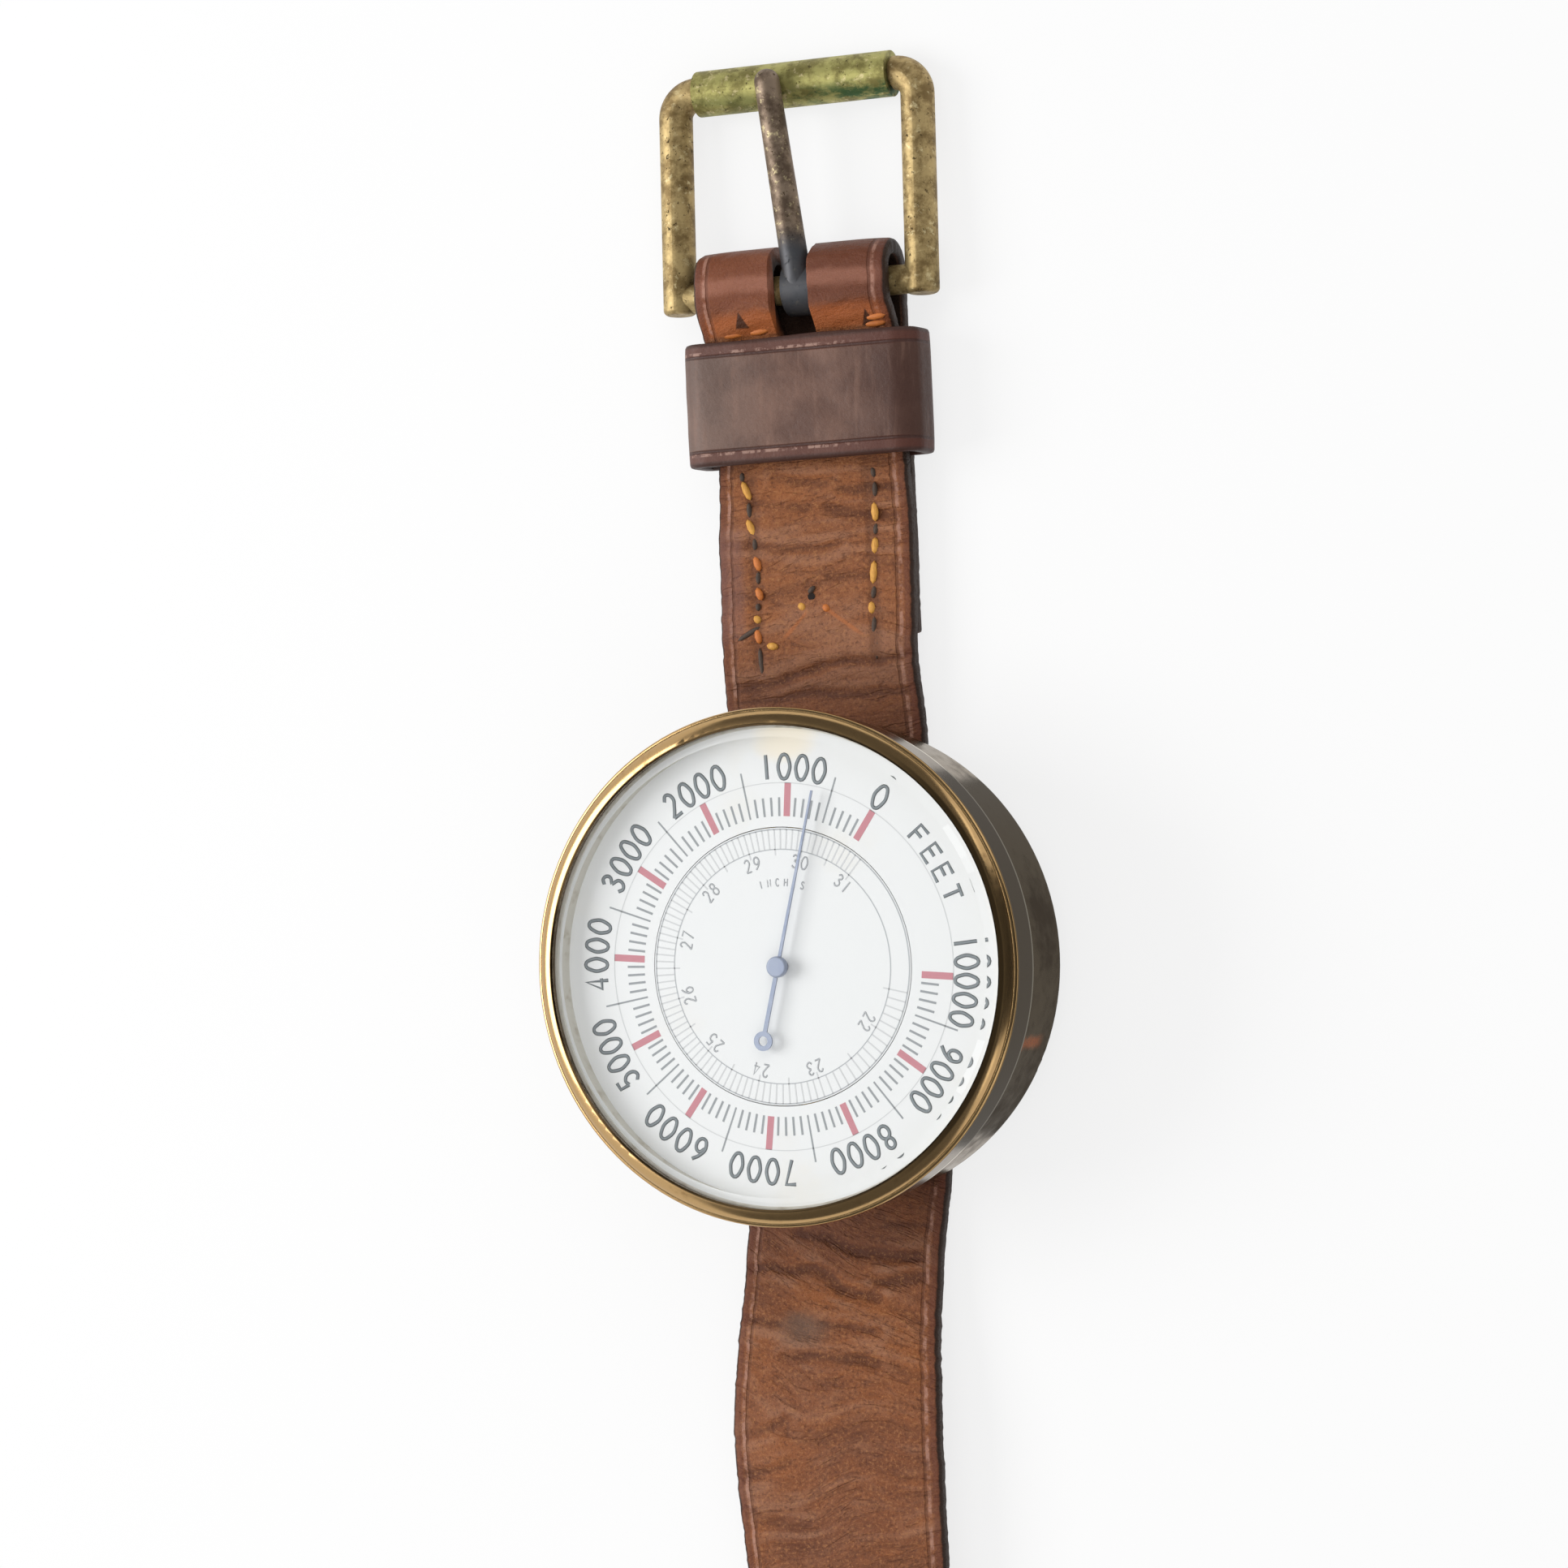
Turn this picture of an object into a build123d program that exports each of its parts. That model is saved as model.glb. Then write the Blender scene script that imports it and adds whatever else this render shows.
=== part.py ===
from build123d import *
from math import asin, cos, radians, sin
import os

os.makedirs("parts", exist_ok=True)

# Wrist altimeter, millimetres. +Z is up out of the dial, +Y points to the buckle, +X to three o'clock.
# The origin is on the dial's axis, at the underside of the bridge that carries the strap.

# Strap and its bridge under the case
strap_width = 25.4
leather = 2.2
strap_shift = -0.8
strap_clearance = 0.3
bridge_sheet = 0.8
bridge_length = 20.0
bridge_side_gap = 1.1
bridge_flange = 3.4
bridge_bend = 0.5

# Case
case_radius = 30.0
case_wall = 0.9
case_floor = 1.0
case_edge_round = 1.2
case_bead_out = 1.2
case_bead_height = 0.5
case_bead_gap = 0.15

# Bezel
bezel_height = 7.6
bezel_play = 0.06
skirt_wall = 1.24
lip_cover = 0.56
lip_thickness = 1.0
lip_edge = 0.2
rim_fall = 0.75
rim_crown = 0.2
rim_step = 0.1
rim_inset = 0.1
bead_out = 0.45
bead_height = 0.75
wire_size = 0.6
wire_height = 1.3
wire_play = 0.1
wire_split = 4.0

# Glass and dial
glass_edge = 0.9
glass_bevel_width = 1.3
glass_bevel_rise = 0.9
glass_play = 0.05
air_gap = 2.25
spacer_wall = 1.05
spacer_slope = 0.25
dial_sheet = 0.6
ring_gap = 0.15
inner_dial_radius = 17.0
inner_dial_play = 0.12
dial_arbor_hole = 0.9
dial_foot_radius = 0.9
dial_foot_spigot = 0.6
dial_foot_reach = 11.0

# Plates, bars and pillars of the movement
plate_margin = 2.1
plate_thickness = 1.5
bar_width = 8.0
bar_thickness = 1.0
train_room = 2.0
dial_room = 1.65
pillar_inset = 8.5
pillar_radius = 2.0
pillar_spigot = 1.2
running_play = 0.03
thread_play = 0.05

# Screws
slot_width = 0.5
case_screw_inset = 4.0
case_screw_count = 3
case_screw_start = 45.0
case_screw_head = 2.0
case_screw_shank = 1.0
case_screw_sink = 0.9
bar_screw_head = 1.6
bar_screw_height = 0.7
bar_screw_shank = 0.8
bar_screw_length = 7.0

# Capsule, mainspring and the bracket that carries it
capsule_gap = 2.5
capsule_height = 4.6
capsule_room = 0.4
capsule_waves = 2
capsule_wave_depth = 0.6
post_radius = 1.4
post_shoulder = 2.4
post_rise = 0.95
nut_radius = 2.4
nut_height = 0.75
spring_thickness = 0.8
spring_root_width = 9.0
spring_tip_width = 5.0
spring_tip_reach = 7.6
bracket_inset = 5.2
bracket_length = 6.4
bracket_width = 10.0
bracket_corner = 0.8
clamp_thickness = 1.0
clamp_screw_spread = 3.0
clamp_screw_head = 1.3
clamp_screw_height = 0.8
clamp_screw_shank = 0.7
clamp_screw_length = 5.0

# Adjusting screw in the back
adjuster_hole = 2.2
adjuster_head = 1.9
adjuster_head_height = 0.8
adjuster_head_lift = 0.4
adjuster_plate_hole = 2.5
adjuster_shank = 1.2
adjuster_length = 5.6
adjuster_tip_gap = 0.25

# Lever, link and rocker
lever_thickness = 1.0
lever_width = 2.4
lever_room = 0.95
lever_start = 5.0
lever_tip_margin = 0.6
strip_thickness = 0.5
lever_screw_head = 0.8
lever_screw_height = 0.45
lever_screw_shank = 0.45
link_size = 0.7
link_play = 0.25
rocker_inset = 7.0
rocker_height = 4.9
rocker_radius = 0.8
rocker_pivot = 0.4
rocker_span = 12.0
short_arm = 2.5
long_arm = 5.9
long_arm_lean = 16.0
arm_thickness = 1.0
cock_thickness = 1.5
cock_width = 4.0
cock_foot = 3.6
cock_foot_thickness = 1.2
cock_gap = 0.25
cock_screw_head = 1.1
cock_screw_height = 0.6
cock_screw_shank = 0.6

# Centre arbor, chain, hairspring and pointer
arbor_radius = 0.45
arbor_foot_radius = 0.35
arbor_body = 0.45
drum_radius = 0.5
drum_height = 0.9
drum_lift = 0.4
collet_radius = 1.1
collet_height = 0.5
chain_link = 2.2
chain_width = 0.5
chain_plate = 0.16
chain_rivet = 0.14
chain_end_gap = 0.65
hairspring_turns = 3
hairspring_pitch = 1.2
hairspring_strip = 0.14
hairspring_height = 0.35
stud_size = 1.2
pointer_angle = 14.5
pointer_reach = 22.0
pointer_root_width = 0.4
pointer_tip_width = 0.22
pointer_thickness = 0.3
pointer_lift = 1.1
pointer_hub = 1.3
hub_rise = 1.9
hub_round = 0.25
tail_reach = 9.3
tail_width = 0.5
tail_ring = 1.2
tail_hole = 0.6

# Strap run, buckle end
bar_reach = 84.8
turn_back_reach = 40.6
lap_ramp = 1.7
keeper_ramp = 6.6
keeper_ramp_end = 0.55
glue_line = 0.1
eye_height = 4.1
eye_reach = 4.4
eye_lead = 0.2
eye_bend = 2.9
slot_cut_width = 5.4
slot_cut_back = 4.5

# Strap run, free end: flat at the tip, arched over the table, flat again below the case
strap_reach = 165.0
hump_height = 5.2
hump_foot_reach = 134.0
hump_far_reach = 98.0
hump_near_reach = 58.0
hump_bend = 60.0
case_bend = 16.0
tip_length = 15.0
tip_shoulder = 5.4
tip_waist = 3.4
hole_radius = 1.6
hole_first = 92.0
hole_pitch = 10.0
hole_count = 6

# Keeper
keeper_leather = 1.7
keeper_length = 15.6
keeper_back = 6.3
keeper_shift = 0.1
keeper_side_play = 1.5
keeper_head_room = 2.6
keeper_tab = 0.8
keeper_tab_reach = 7.0
keeper_round = 2.2

# Buckle
frame_inner_width = 28.8
frame_rod = 2.15
frame_bar = 1.85
frame_top_bar = 1.7
frame_depth = 26.1
frame_corner = 2.9
frame_foot = 2.0
frame_foot_round = 0.7
roller_radius = 2.9
roller_play = 0.08
roller_length = 26.4
table_gap = 0.05
prong_width = 3.8
prong_eye = 3.4
prong_play = 0.08
prong_root = 1.8
prong_tip = 1.6
prong_rise = 1.6
prong_shift = 0.5
prong_skew = 1.9
prong_reach = 27.4
prong_gap = 0.1

# Heights, from the strap bridge up to the bezel
strap_top_z = bridge_sheet + strap_clearance + leather
back_z = strap_top_z + strap_clearance
floor_z = back_z + case_floor
plate_z = floor_z + plate_thickness
capsule_z = plate_z + capsule_room
capsule_top_z = capsule_z + capsule_height
spring_z = capsule_top_z + post_rise
lever_z = spring_z + spring_thickness
lower_bar_z = lever_z + lever_thickness + lever_room
train_z = lower_bar_z + bar_thickness
upper_bar_z = train_z + train_room
bar_top_z = upper_bar_z + bar_thickness
dial_back_z = bar_top_z + dial_room
dial_z = dial_back_z + dial_sheet
glass_z = dial_z + air_gap
seat_z = glass_z + glass_edge + glass_play
top_z = seat_z + lip_thickness
skirt_z = top_z - bezel_height
rim_z = dial_back_z - ring_gap

# Radii of the nested round parts
inner_radius = case_radius - case_wall
bore_radius = case_radius + bezel_play
skirt_radius = bore_radius + skirt_wall
stack_radius = bore_radius - glass_play
plate_radius = inner_radius - plate_margin
lip_radius = bore_radius - lip_cover

# Places on the base plate, measured in from its edge
case_screw_circle = plate_radius - case_screw_inset
pillar_reach = plate_radius - pillar_inset
bracket_reach = plate_radius - bracket_inset
rocker_reach = plate_radius - rocker_inset
link_x = rocker_reach - short_arm
capsule_radius = link_x - capsule_gap

top = (Align.CENTER, Align.CENTER, Align.MAX)
bottom = (Align.CENTER, Align.CENTER, Align.MIN)
back_plane = Plane(origin=(0, 0, back_z), x_dir=(1, 0, 0), z_dir=(0, 0, -1))


def cheese_screws(head_radius, head_height, shank_radius, shank_length):
    """Slotted screws at the current places, heads standing on the local plane."""
    Cylinder(head_radius, head_height, align=bottom)
    Cylinder(shank_radius, shank_length, align=top)
    with Locations((0, 0, head_height)):
        slot_length = 2 * head_radius + slot_width
        Box(slot_length, slot_width, head_height / 2, align=top, mode=Mode.SUBTRACT)


def save(part, name):
    part.label = name
    export_step(part, f"parts/{name}.step")


# Case, a turned brass cup with a bead below the bezel and a groove for the bezel's wire
wire_z = rim_z - wire_height
groove_depth = wire_size / 2 + wire_play
bead_top_z = skirt_z - case_bead_gap
bead_low_z = bead_top_z - case_bead_height
bead_face_radius = case_radius + case_bead_out - case_bead_height / 2

with BuildPart() as case:
    with BuildSketch(Plane.XZ):
        with BuildLine():
            Polyline(
                (0, floor_z),
                (0, back_z),
                (case_radius, back_z),
                (case_radius, bead_low_z),
                (bead_face_radius, bead_low_z),
            )
            ThreePointArc(
                (bead_face_radius, bead_low_z),
                (case_radius + case_bead_out, (bead_low_z + bead_top_z) / 2),
                (bead_face_radius, bead_top_z),
            )
            Polyline(
                (bead_face_radius, bead_top_z),
                (case_radius, bead_top_z),
                (case_radius, rim_z),
                (inner_radius, rim_z),
                (inner_radius, floor_z),
                (0, floor_z),
            )
        make_face()
    revolve(axis=Axis.Z)
    back_edge = case.faces().sort_by(Axis.Z)[0].edges().sort_by(SortBy.RADIUS)[-1]
    fillet(back_edge, case_edge_round)
    with BuildSketch(Plane.XZ):
        with Locations((case_radius, wire_z)):
            Rectangle(2 * groove_depth, wire_size + 2 * wire_play)
    revolve(axis=Axis.Z, mode=Mode.SUBTRACT)
    with Locations(back_plane):
        with PolarLocations(case_screw_circle, case_screw_count, start_angle=case_screw_start):
            CounterSinkHole(
                case_screw_shank + thread_play, case_screw_head + thread_play, case_floor
            )
    with Locations((-bracket_reach, 0, floor_z)):
        Cylinder(adjuster_hole, 4 * case_floor, mode=Mode.SUBTRACT)
save(case.part, "case")

# Strap bridge, bent from brass strip, with its two flanges soldered to the case's back
bridge_half = strap_width / 2 - strap_shift + bridge_side_gap
flange_z = back_z - bridge_sheet / 2

with BuildPart() as strap_bridge:
    with BuildSketch(Plane.XZ) as bridge_section:
        with BuildLine():
            half_sheet = bridge_sheet / 2
            FilletPolyline(
                (-bridge_half - bridge_flange, flange_z),
                (-bridge_half, flange_z),
                (-bridge_half, half_sheet),
                (bridge_half, half_sheet),
                (bridge_half, flange_z),
                (bridge_half + bridge_flange, flange_z),
                radius=bridge_bend,
            )
        trace(line_width=bridge_sheet)
    extrude(amount=bridge_length / 2, both=True)
save(strap_bridge.part, "strap_bridge")

# Base plate of the movement
bracket_screws = [(-bracket_reach, -clamp_screw_spread), (-bracket_reach, clamp_screw_spread)]
pillar_places = [(0, -pillar_reach), (0, pillar_reach)]
cock_offset = rocker_span / 2 + cock_gap + cock_thickness
cock_screw_y = cock_offset + cock_foot / 2
cock_places = [(rocker_reach, -cock_screw_y), (rocker_reach, cock_screw_y)]

with BuildPart() as base_plate:
    with BuildSketch(Plane.XY.offset(floor_z)):
        Circle(plate_radius)
        with Locations((-bracket_reach, 0)):
            Circle(adjuster_plate_hole, mode=Mode.SUBTRACT)
        with Locations(*pillar_places):
            Circle(pillar_spigot, mode=Mode.SUBTRACT)
        with Locations(*cock_places):
            Circle(cock_screw_shank + thread_play, mode=Mode.SUBTRACT)
        Circle(post_radius + thread_play, mode=Mode.SUBTRACT)
    extrude(amount=plate_thickness)
    with Locations(back_plane):
        with PolarLocations(case_screw_circle, case_screw_count, start_angle=case_screw_start):
            Hole(case_screw_shank + thread_play)
save(base_plate.part, "base_plate")

# Screws through the case's back into the base plate
with BuildPart() as case_screws:
    with Locations(back_plane):
        with PolarLocations(case_screw_circle, case_screw_count, start_angle=case_screw_start):
            Cone(case_screw_shank, case_screw_head, case_screw_sink, align=top)
            Cylinder(case_screw_shank, case_floor + plate_thickness, align=top)
            Box(3 * case_screw_head, slot_width, case_screw_sink / 2, align=top, mode=Mode.SUBTRACT)
save(case_screws.part, "case_screws")

# Aneroid capsule, with ridged faces, a stud into the base plate and a post up to the spring
wave_pitch = (capsule_radius - 2 * post_shoulder) / (2 * capsule_waves + 1)
wave_radii = [post_shoulder + wave_pitch * (step + 1) for step in range(2 * capsule_waves + 1)]
wave_dips = [capsule_wave_depth * (step % 2) for step in range(2 * capsule_waves + 1)]
top_wave = [(r, capsule_top_z - dip) for r, dip in zip(wave_radii, wave_dips)]
low_wave = [(r, capsule_z + dip) for r, dip in zip(wave_radii, wave_dips)]

with BuildPart() as capsule:
    with BuildSketch(Plane.XZ):
        with BuildLine():
            Polyline(
                (0, floor_z),
                (post_radius, floor_z),
                (post_radius, plate_z),
                (post_shoulder, plate_z),
                (post_shoulder, capsule_z),
                *low_wave,
                (capsule_radius, capsule_z + capsule_wave_depth),
                (capsule_radius, capsule_top_z - capsule_wave_depth),
                *reversed(top_wave),
                (post_shoulder, capsule_top_z),
                (post_shoulder, spring_z),
                (post_radius, spring_z),
                (post_radius, lever_z + nut_height / 2),
                (0, lever_z + nut_height / 2),
                close=True,
            )
        make_face()
    revolve(axis=Axis.Z)
save(capsule.part, "capsule")

# Nut that holds the mainspring down on the capsule's post
with BuildPart() as capsule_nut:
    with BuildSketch(Plane.XY.offset(lever_z)):
        RegularPolygon(nut_radius, 6)
        Circle(post_radius, mode=Mode.SUBTRACT)
    extrude(amount=nut_height)
save(capsule_nut.part, "capsule_nut")

# Bracket of the mainspring, seated on the base plate over the adjusting screw
bracket_end = bracket_reach + bracket_length / 2
hinge_x = bracket_reach - bracket_length / 2

with BuildPart() as spring_bracket:
    with BuildSketch(Plane.XY.offset(plate_z)):
        with Locations((-bracket_reach, 0)):
            RectangleRounded(bracket_length, bracket_width, bracket_corner)
    extrude(amount=spring_z - plate_z)
    with Locations((-bracket_reach, 0, plate_z)):
        Cylinder(adjuster_shank + thread_play, adjuster_length, align=bottom, mode=Mode.SUBTRACT)
    with Locations(*[(x, y, spring_z) for x, y in bracket_screws]):
        Cylinder(clamp_screw_shank, clamp_screw_length, mode=Mode.SUBTRACT)
save(spring_bracket.part, "spring_bracket")

# Mainspring, a flat leaf that tapers to its free end
with BuildPart() as main_spring:
    with BuildSketch(Plane.XY.offset(spring_z)):
        with BuildLine():
            Polyline(
                (-bracket_end, -spring_root_width / 2),
                (-hinge_x, -spring_root_width / 2),
                (spring_tip_reach, -spring_tip_width / 2),
                (spring_tip_reach, spring_tip_width / 2),
                (-hinge_x, spring_root_width / 2),
                (-bracket_end, spring_root_width / 2),
                close=True,
            )
        make_face()
        Circle(post_radius + thread_play, mode=Mode.SUBTRACT)
        with Locations(*bracket_screws):
            Circle(clamp_screw_shank + thread_play, mode=Mode.SUBTRACT)
        with Locations(((lever_start + spring_tip_reach) / 2, 0)):
            Circle(lever_screw_shank + thread_play, mode=Mode.SUBTRACT)
    extrude(amount=spring_thickness)
save(main_spring.part, "main_spring")

# Clamp over the mainspring's root
with BuildPart() as spring_clamp:
    with BuildSketch(Plane.XY.offset(lever_z)):
        with Locations((-bracket_reach, 0)):
            Rectangle(bracket_length, spring_root_width)
        with Locations(*bracket_screws):
            Circle(clamp_screw_shank + thread_play, mode=Mode.SUBTRACT)
    extrude(amount=clamp_thickness)
save(spring_clamp.part, "spring_clamp")

with BuildPart() as clamp_screws:
    clamp_top_z = lever_z + clamp_thickness
    with Locations(*[(x, y, clamp_top_z) for x, y in bracket_screws]):
        cheese_screws(
            clamp_screw_head,
            clamp_screw_height,
            clamp_screw_shank,
            clamp_thickness + spring_thickness + clamp_screw_length / 2,
        )
save(clamp_screws.part, "clamp_screws")

# Adjusting screw, its slotted head behind the hole in the case's back
adjuster_z = floor_z + adjuster_head_lift
adjuster_top_z = plate_z + adjuster_length - adjuster_tip_gap

with BuildPart() as adjusting_screw:
    with Locations((-bracket_reach, 0, adjuster_z)):
        Cylinder(adjuster_head, adjuster_head_height, align=bottom)
        Cylinder(adjuster_shank, adjuster_top_z - adjuster_z, align=bottom)
        Box(3 * adjuster_head, slot_width, adjuster_head_height, mode=Mode.SUBTRACT)
save(adjusting_screw.part, "adjusting_screw")

# Lever on the mainspring's free end, with a steel strip below it against heat
lever_end = link_x + lever_tip_margin
lever_screw_x = (lever_start + spring_tip_reach) / 2
strip_start = spring_tip_reach + strip_thickness
strip_end = link_x - 2 * link_size

with BuildPart() as lever:
    with BuildSketch(Plane.XY.offset(lever_z)):
        with BuildLine():
            Polyline(
                (lever_start, -spring_tip_width / 2),
                (spring_tip_reach, -spring_tip_width / 2),
                (spring_tip_reach + lever_width, -lever_width / 2),
                (lever_end, -lever_width / 2),
                (lever_end, lever_width / 2),
                (spring_tip_reach + lever_width, lever_width / 2),
                (spring_tip_reach, spring_tip_width / 2),
                (lever_start, spring_tip_width / 2),
                close=True,
            )
        make_face()
        with Locations((lever_screw_x, 0)):
            Circle(lever_screw_shank + thread_play, mode=Mode.SUBTRACT)
    extrude(amount=lever_thickness)
save(lever.part, "lever")

with BuildPart() as compensating_strip:
    with BuildSketch(Plane.XY.offset(lever_z)):
        with Locations(((strip_start + strip_end) / 2, 0)):
            Rectangle(strip_end - strip_start, lever_width)
    extrude(amount=-strip_thickness)
save(compensating_strip.part, "compensating_strip")

with BuildPart() as lever_screw:
    with Locations((lever_screw_x, 0, lever_z + lever_thickness)):
        cheese_screws(
            lever_screw_head,
            lever_screw_height,
            lever_screw_shank,
            lever_thickness + spring_thickness,
        )
save(lever_screw.part, "lever_screw")

# Rocker, a shaft across the movement with a short arm to the link and a long arm to the chain
rocker_z = plate_z + rocker_height
chain_z = rocker_z + long_arm * cos(radians(long_arm_lean))
chain_y = -drum_radius - chain_width / 2 - running_play
chain_end_x = rocker_reach - long_arm * sin(radians(long_arm_lean))
long_arm_plane = Plane(
    origin=(rocker_reach, chain_y, rocker_z),
    x_dir=(0, 1, 0),
    z_dir=(-sin(radians(long_arm_lean)), 0, cos(radians(long_arm_lean))),
)

with BuildPart() as connecting_link:
    with Locations((link_x, 0, lever_z)):
        Box(link_size, link_size, lever_z - rocker_z - arm_thickness / 2 - link_play, align=top)
save(connecting_link.part, "connecting_link")

with BuildPart() as rocker:
    with BuildSketch(Plane.XZ.offset(-rocker_span / 2)):
        with Locations((rocker_reach, rocker_z)):
            Circle(rocker_radius)
    extrude(amount=rocker_span)
    with BuildSketch(Plane.XZ.offset(-rocker_span / 2 - cock_gap - cock_thickness)):
        with Locations((rocker_reach, rocker_z)):
            Circle(rocker_pivot)
    extrude(amount=rocker_span + 2 * cock_gap + 2 * cock_thickness)
    with Locations((rocker_reach - short_arm / 2, 0, rocker_z)):
        Box(short_arm + link_size, arm_thickness, arm_thickness)
    with BuildSketch(long_arm_plane):
        Rectangle(arm_thickness, arm_thickness)
    extrude(amount=long_arm - chain_width)
    with BuildSketch(long_arm_plane):
        Rectangle(chain_width, chain_width)
    extrude(amount=long_arm + chain_width / 2)
save(rocker.part, "rocker")

# Cocks that carry the rocker's pivots, each with a foot on the base plate
with BuildPart() as rocker_cocks:
    with BuildSketch(Plane.YZ.offset(rocker_reach)):
        with BuildLine():
            inner_y = rocker_span / 2 + cock_gap
            Polyline(
                (inner_y, plate_z),
                (cock_offset + cock_foot, plate_z),
                (cock_offset + cock_foot, plate_z + cock_foot_thickness),
                (cock_offset, plate_z + cock_foot_thickness),
                (cock_offset, rocker_z + 2 * rocker_radius),
                (inner_y, rocker_z + 2 * rocker_radius),
                close=True,
            )
        make_face()
    extrude(amount=cock_width / 2, both=True)
    mirror(about=Plane.XZ)
    with BuildSketch(Plane.XZ.offset(-cock_offset - cock_foot)):
        with Locations((rocker_reach, rocker_z)):
            Circle(rocker_pivot + running_play)
    extrude(amount=2 * (cock_offset + cock_foot), mode=Mode.SUBTRACT)
    with Locations(*[(x, y, plate_z) for x, y in cock_places]):
        Cylinder(cock_screw_shank + thread_play, 4 * cock_foot_thickness, mode=Mode.SUBTRACT)
save(rocker_cocks.part, "rocker_cocks")

with BuildPart() as cock_screws:
    with Locations(*[(x, y, plate_z + cock_foot_thickness) for x, y in cock_places]):
        cheese_screws(
            cock_screw_head,
            cock_screw_height,
            cock_screw_shank,
            cock_foot_thickness + plate_thickness,
        )
save(cock_screws.part, "cock_screws")

# Pillars and the two bars across the movement, clamped by one long screw at each end
with BuildPart() as lower_pillars:
    with Locations(*[(x, y, plate_z) for x, y in pillar_places]):
        Cylinder(pillar_radius, lower_bar_z - plate_z, align=bottom)
        Cylinder(pillar_spigot, plate_thickness, align=top)
    with Locations(*[(x, y, lower_bar_z) for x, y in pillar_places]):
        Cylinder(bar_screw_shank, bar_screw_length, align=top, mode=Mode.SUBTRACT)
save(lower_pillars.part, "lower_pillars")


def build_bar(name, low_z, extra_holes):
    """One bar across the movement, with a pivot hole at its centre."""
    with BuildPart() as bar:
        with BuildSketch(Plane.XY.offset(low_z)):
            SlotCenterToCenter(2 * pillar_reach, bar_width, rotation=90)
            with Locations(*pillar_places):
                Circle(bar_screw_shank + thread_play, mode=Mode.SUBTRACT)
            for place, radius in extra_holes:
                with Locations(place):
                    Circle(radius, mode=Mode.SUBTRACT)
        extrude(amount=bar_thickness)
    save(bar.part, name)


dial_feet = [(0, -dial_foot_reach), (0, dial_foot_reach)]
build_bar("lower_bar", lower_bar_z, [((0, 0), arbor_foot_radius + running_play)])
upper_holes = [((0, 0), arbor_radius + running_play)]
upper_holes += [(place, dial_foot_spigot + thread_play) for place in dial_feet]
build_bar("upper_bar", upper_bar_z, upper_holes)

with BuildPart() as upper_pillars:
    with BuildSketch(Plane.XY.offset(train_z)):
        with Locations(*pillar_places):
            Circle(pillar_radius)
            Circle(bar_screw_shank + thread_play, mode=Mode.SUBTRACT)
    extrude(amount=train_room)
save(upper_pillars.part, "upper_pillars")

with BuildPart() as bar_screws:
    with Locations(*[(x, y, bar_top_z) for x, y in pillar_places]):
        cheese_screws(
            bar_screw_head,
            bar_screw_height,
            bar_screw_shank,
            bar_top_z - lower_bar_z + bar_screw_length / 2,
        )
save(bar_screws.part, "bar_screws")

# Centre arbor, with the chain's drum, the hairspring's collet and the seat of the pointer
drum_z = train_z + drum_lift
collet_z = drum_z + drum_height
hub_z = dial_z + pointer_lift
hub_top_z = dial_z + hub_rise

with BuildPart() as centre_arbor:
    with BuildSketch(Plane.XZ):
        with BuildLine():
            Polyline(
                (0, lower_bar_z),
                (arbor_foot_radius, lower_bar_z),
                (arbor_foot_radius, train_z + running_play),
                (arbor_body, train_z + running_play),
                (arbor_body, drum_z),
                (drum_radius, drum_z),
                (drum_radius, collet_z),
                (collet_radius, collet_z),
                (collet_radius, collet_z + collet_height),
                (arbor_radius, collet_z + collet_height),
                (arbor_radius, hub_top_z - hub_round),
                (0, hub_top_z - hub_round),
                close=True,
            )
        make_face()
    revolve(axis=Axis.Z)
save(centre_arbor.part, "centre_arbor")

# Fusee chain from the rocker's long arm to the drum, single plates between pairs of plates
link_count = round(chain_end_x / chain_link)
link_pitch = (chain_end_x - chain_end_gap) / link_count

with BuildPart() as chain:
    for index in range(link_count):
        link_centre_x = link_pitch * (index + 0.5)
        single = index % 2
        layers = [0] if single else [-chain_plate, chain_plate]
        for layer in layers:
            with BuildSketch(Plane.XY.offset(chain_z + layer - chain_plate / 2)):
                with Locations((link_centre_x, chain_y)):
                    SlotOverall(link_pitch + chain_width, chain_width)
            extrude(amount=chain_plate)
    rivets = [(link_pitch * index, chain_y, chain_z) for index in range(link_count + 1)]
    with Locations(*rivets):
        Cylinder(chain_rivet, 3 * chain_plate)
save(chain.part, "chain")

# Hairspring, half turns of growing radius from the collet to the stud
spring_plane_z = collet_z + collet_height - hairspring_height
half_step = hairspring_pitch / 2
spiral_radii = [
    collet_radius + hairspring_strip + half_step * step for step in range(2 * hairspring_turns + 1)
]

with BuildPart() as hairspring:
    with BuildSketch(Plane.XY.offset(spring_plane_z)):
        with BuildLine():
            spiral_x = -collet_radius - hairspring_strip / 2
            side = 1
            for radius in spiral_radii:
                far_x = spiral_x + side * 2 * radius
                mid_x = (spiral_x + far_x) / 2
                ThreePointArc((spiral_x, 0), (mid_x, side * radius), (far_x, 0))
                spiral_x = far_x
                side = -side
        trace(line_width=hairspring_strip)
    extrude(amount=hairspring_height)
save(hairspring.part, "hairspring")

with BuildPart() as hairspring_stud:
    with BuildSketch(Plane.XY.offset(spring_plane_z)):
        stud_centre_x = spiral_x + stud_size / 2 + hairspring_strip
        with Locations((stud_centre_x, 0)):
            Rectangle(stud_size, stud_size)
    extrude(amount=upper_bar_z - spring_plane_z)
save(hairspring_stud.part, "hairspring_stud")

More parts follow.
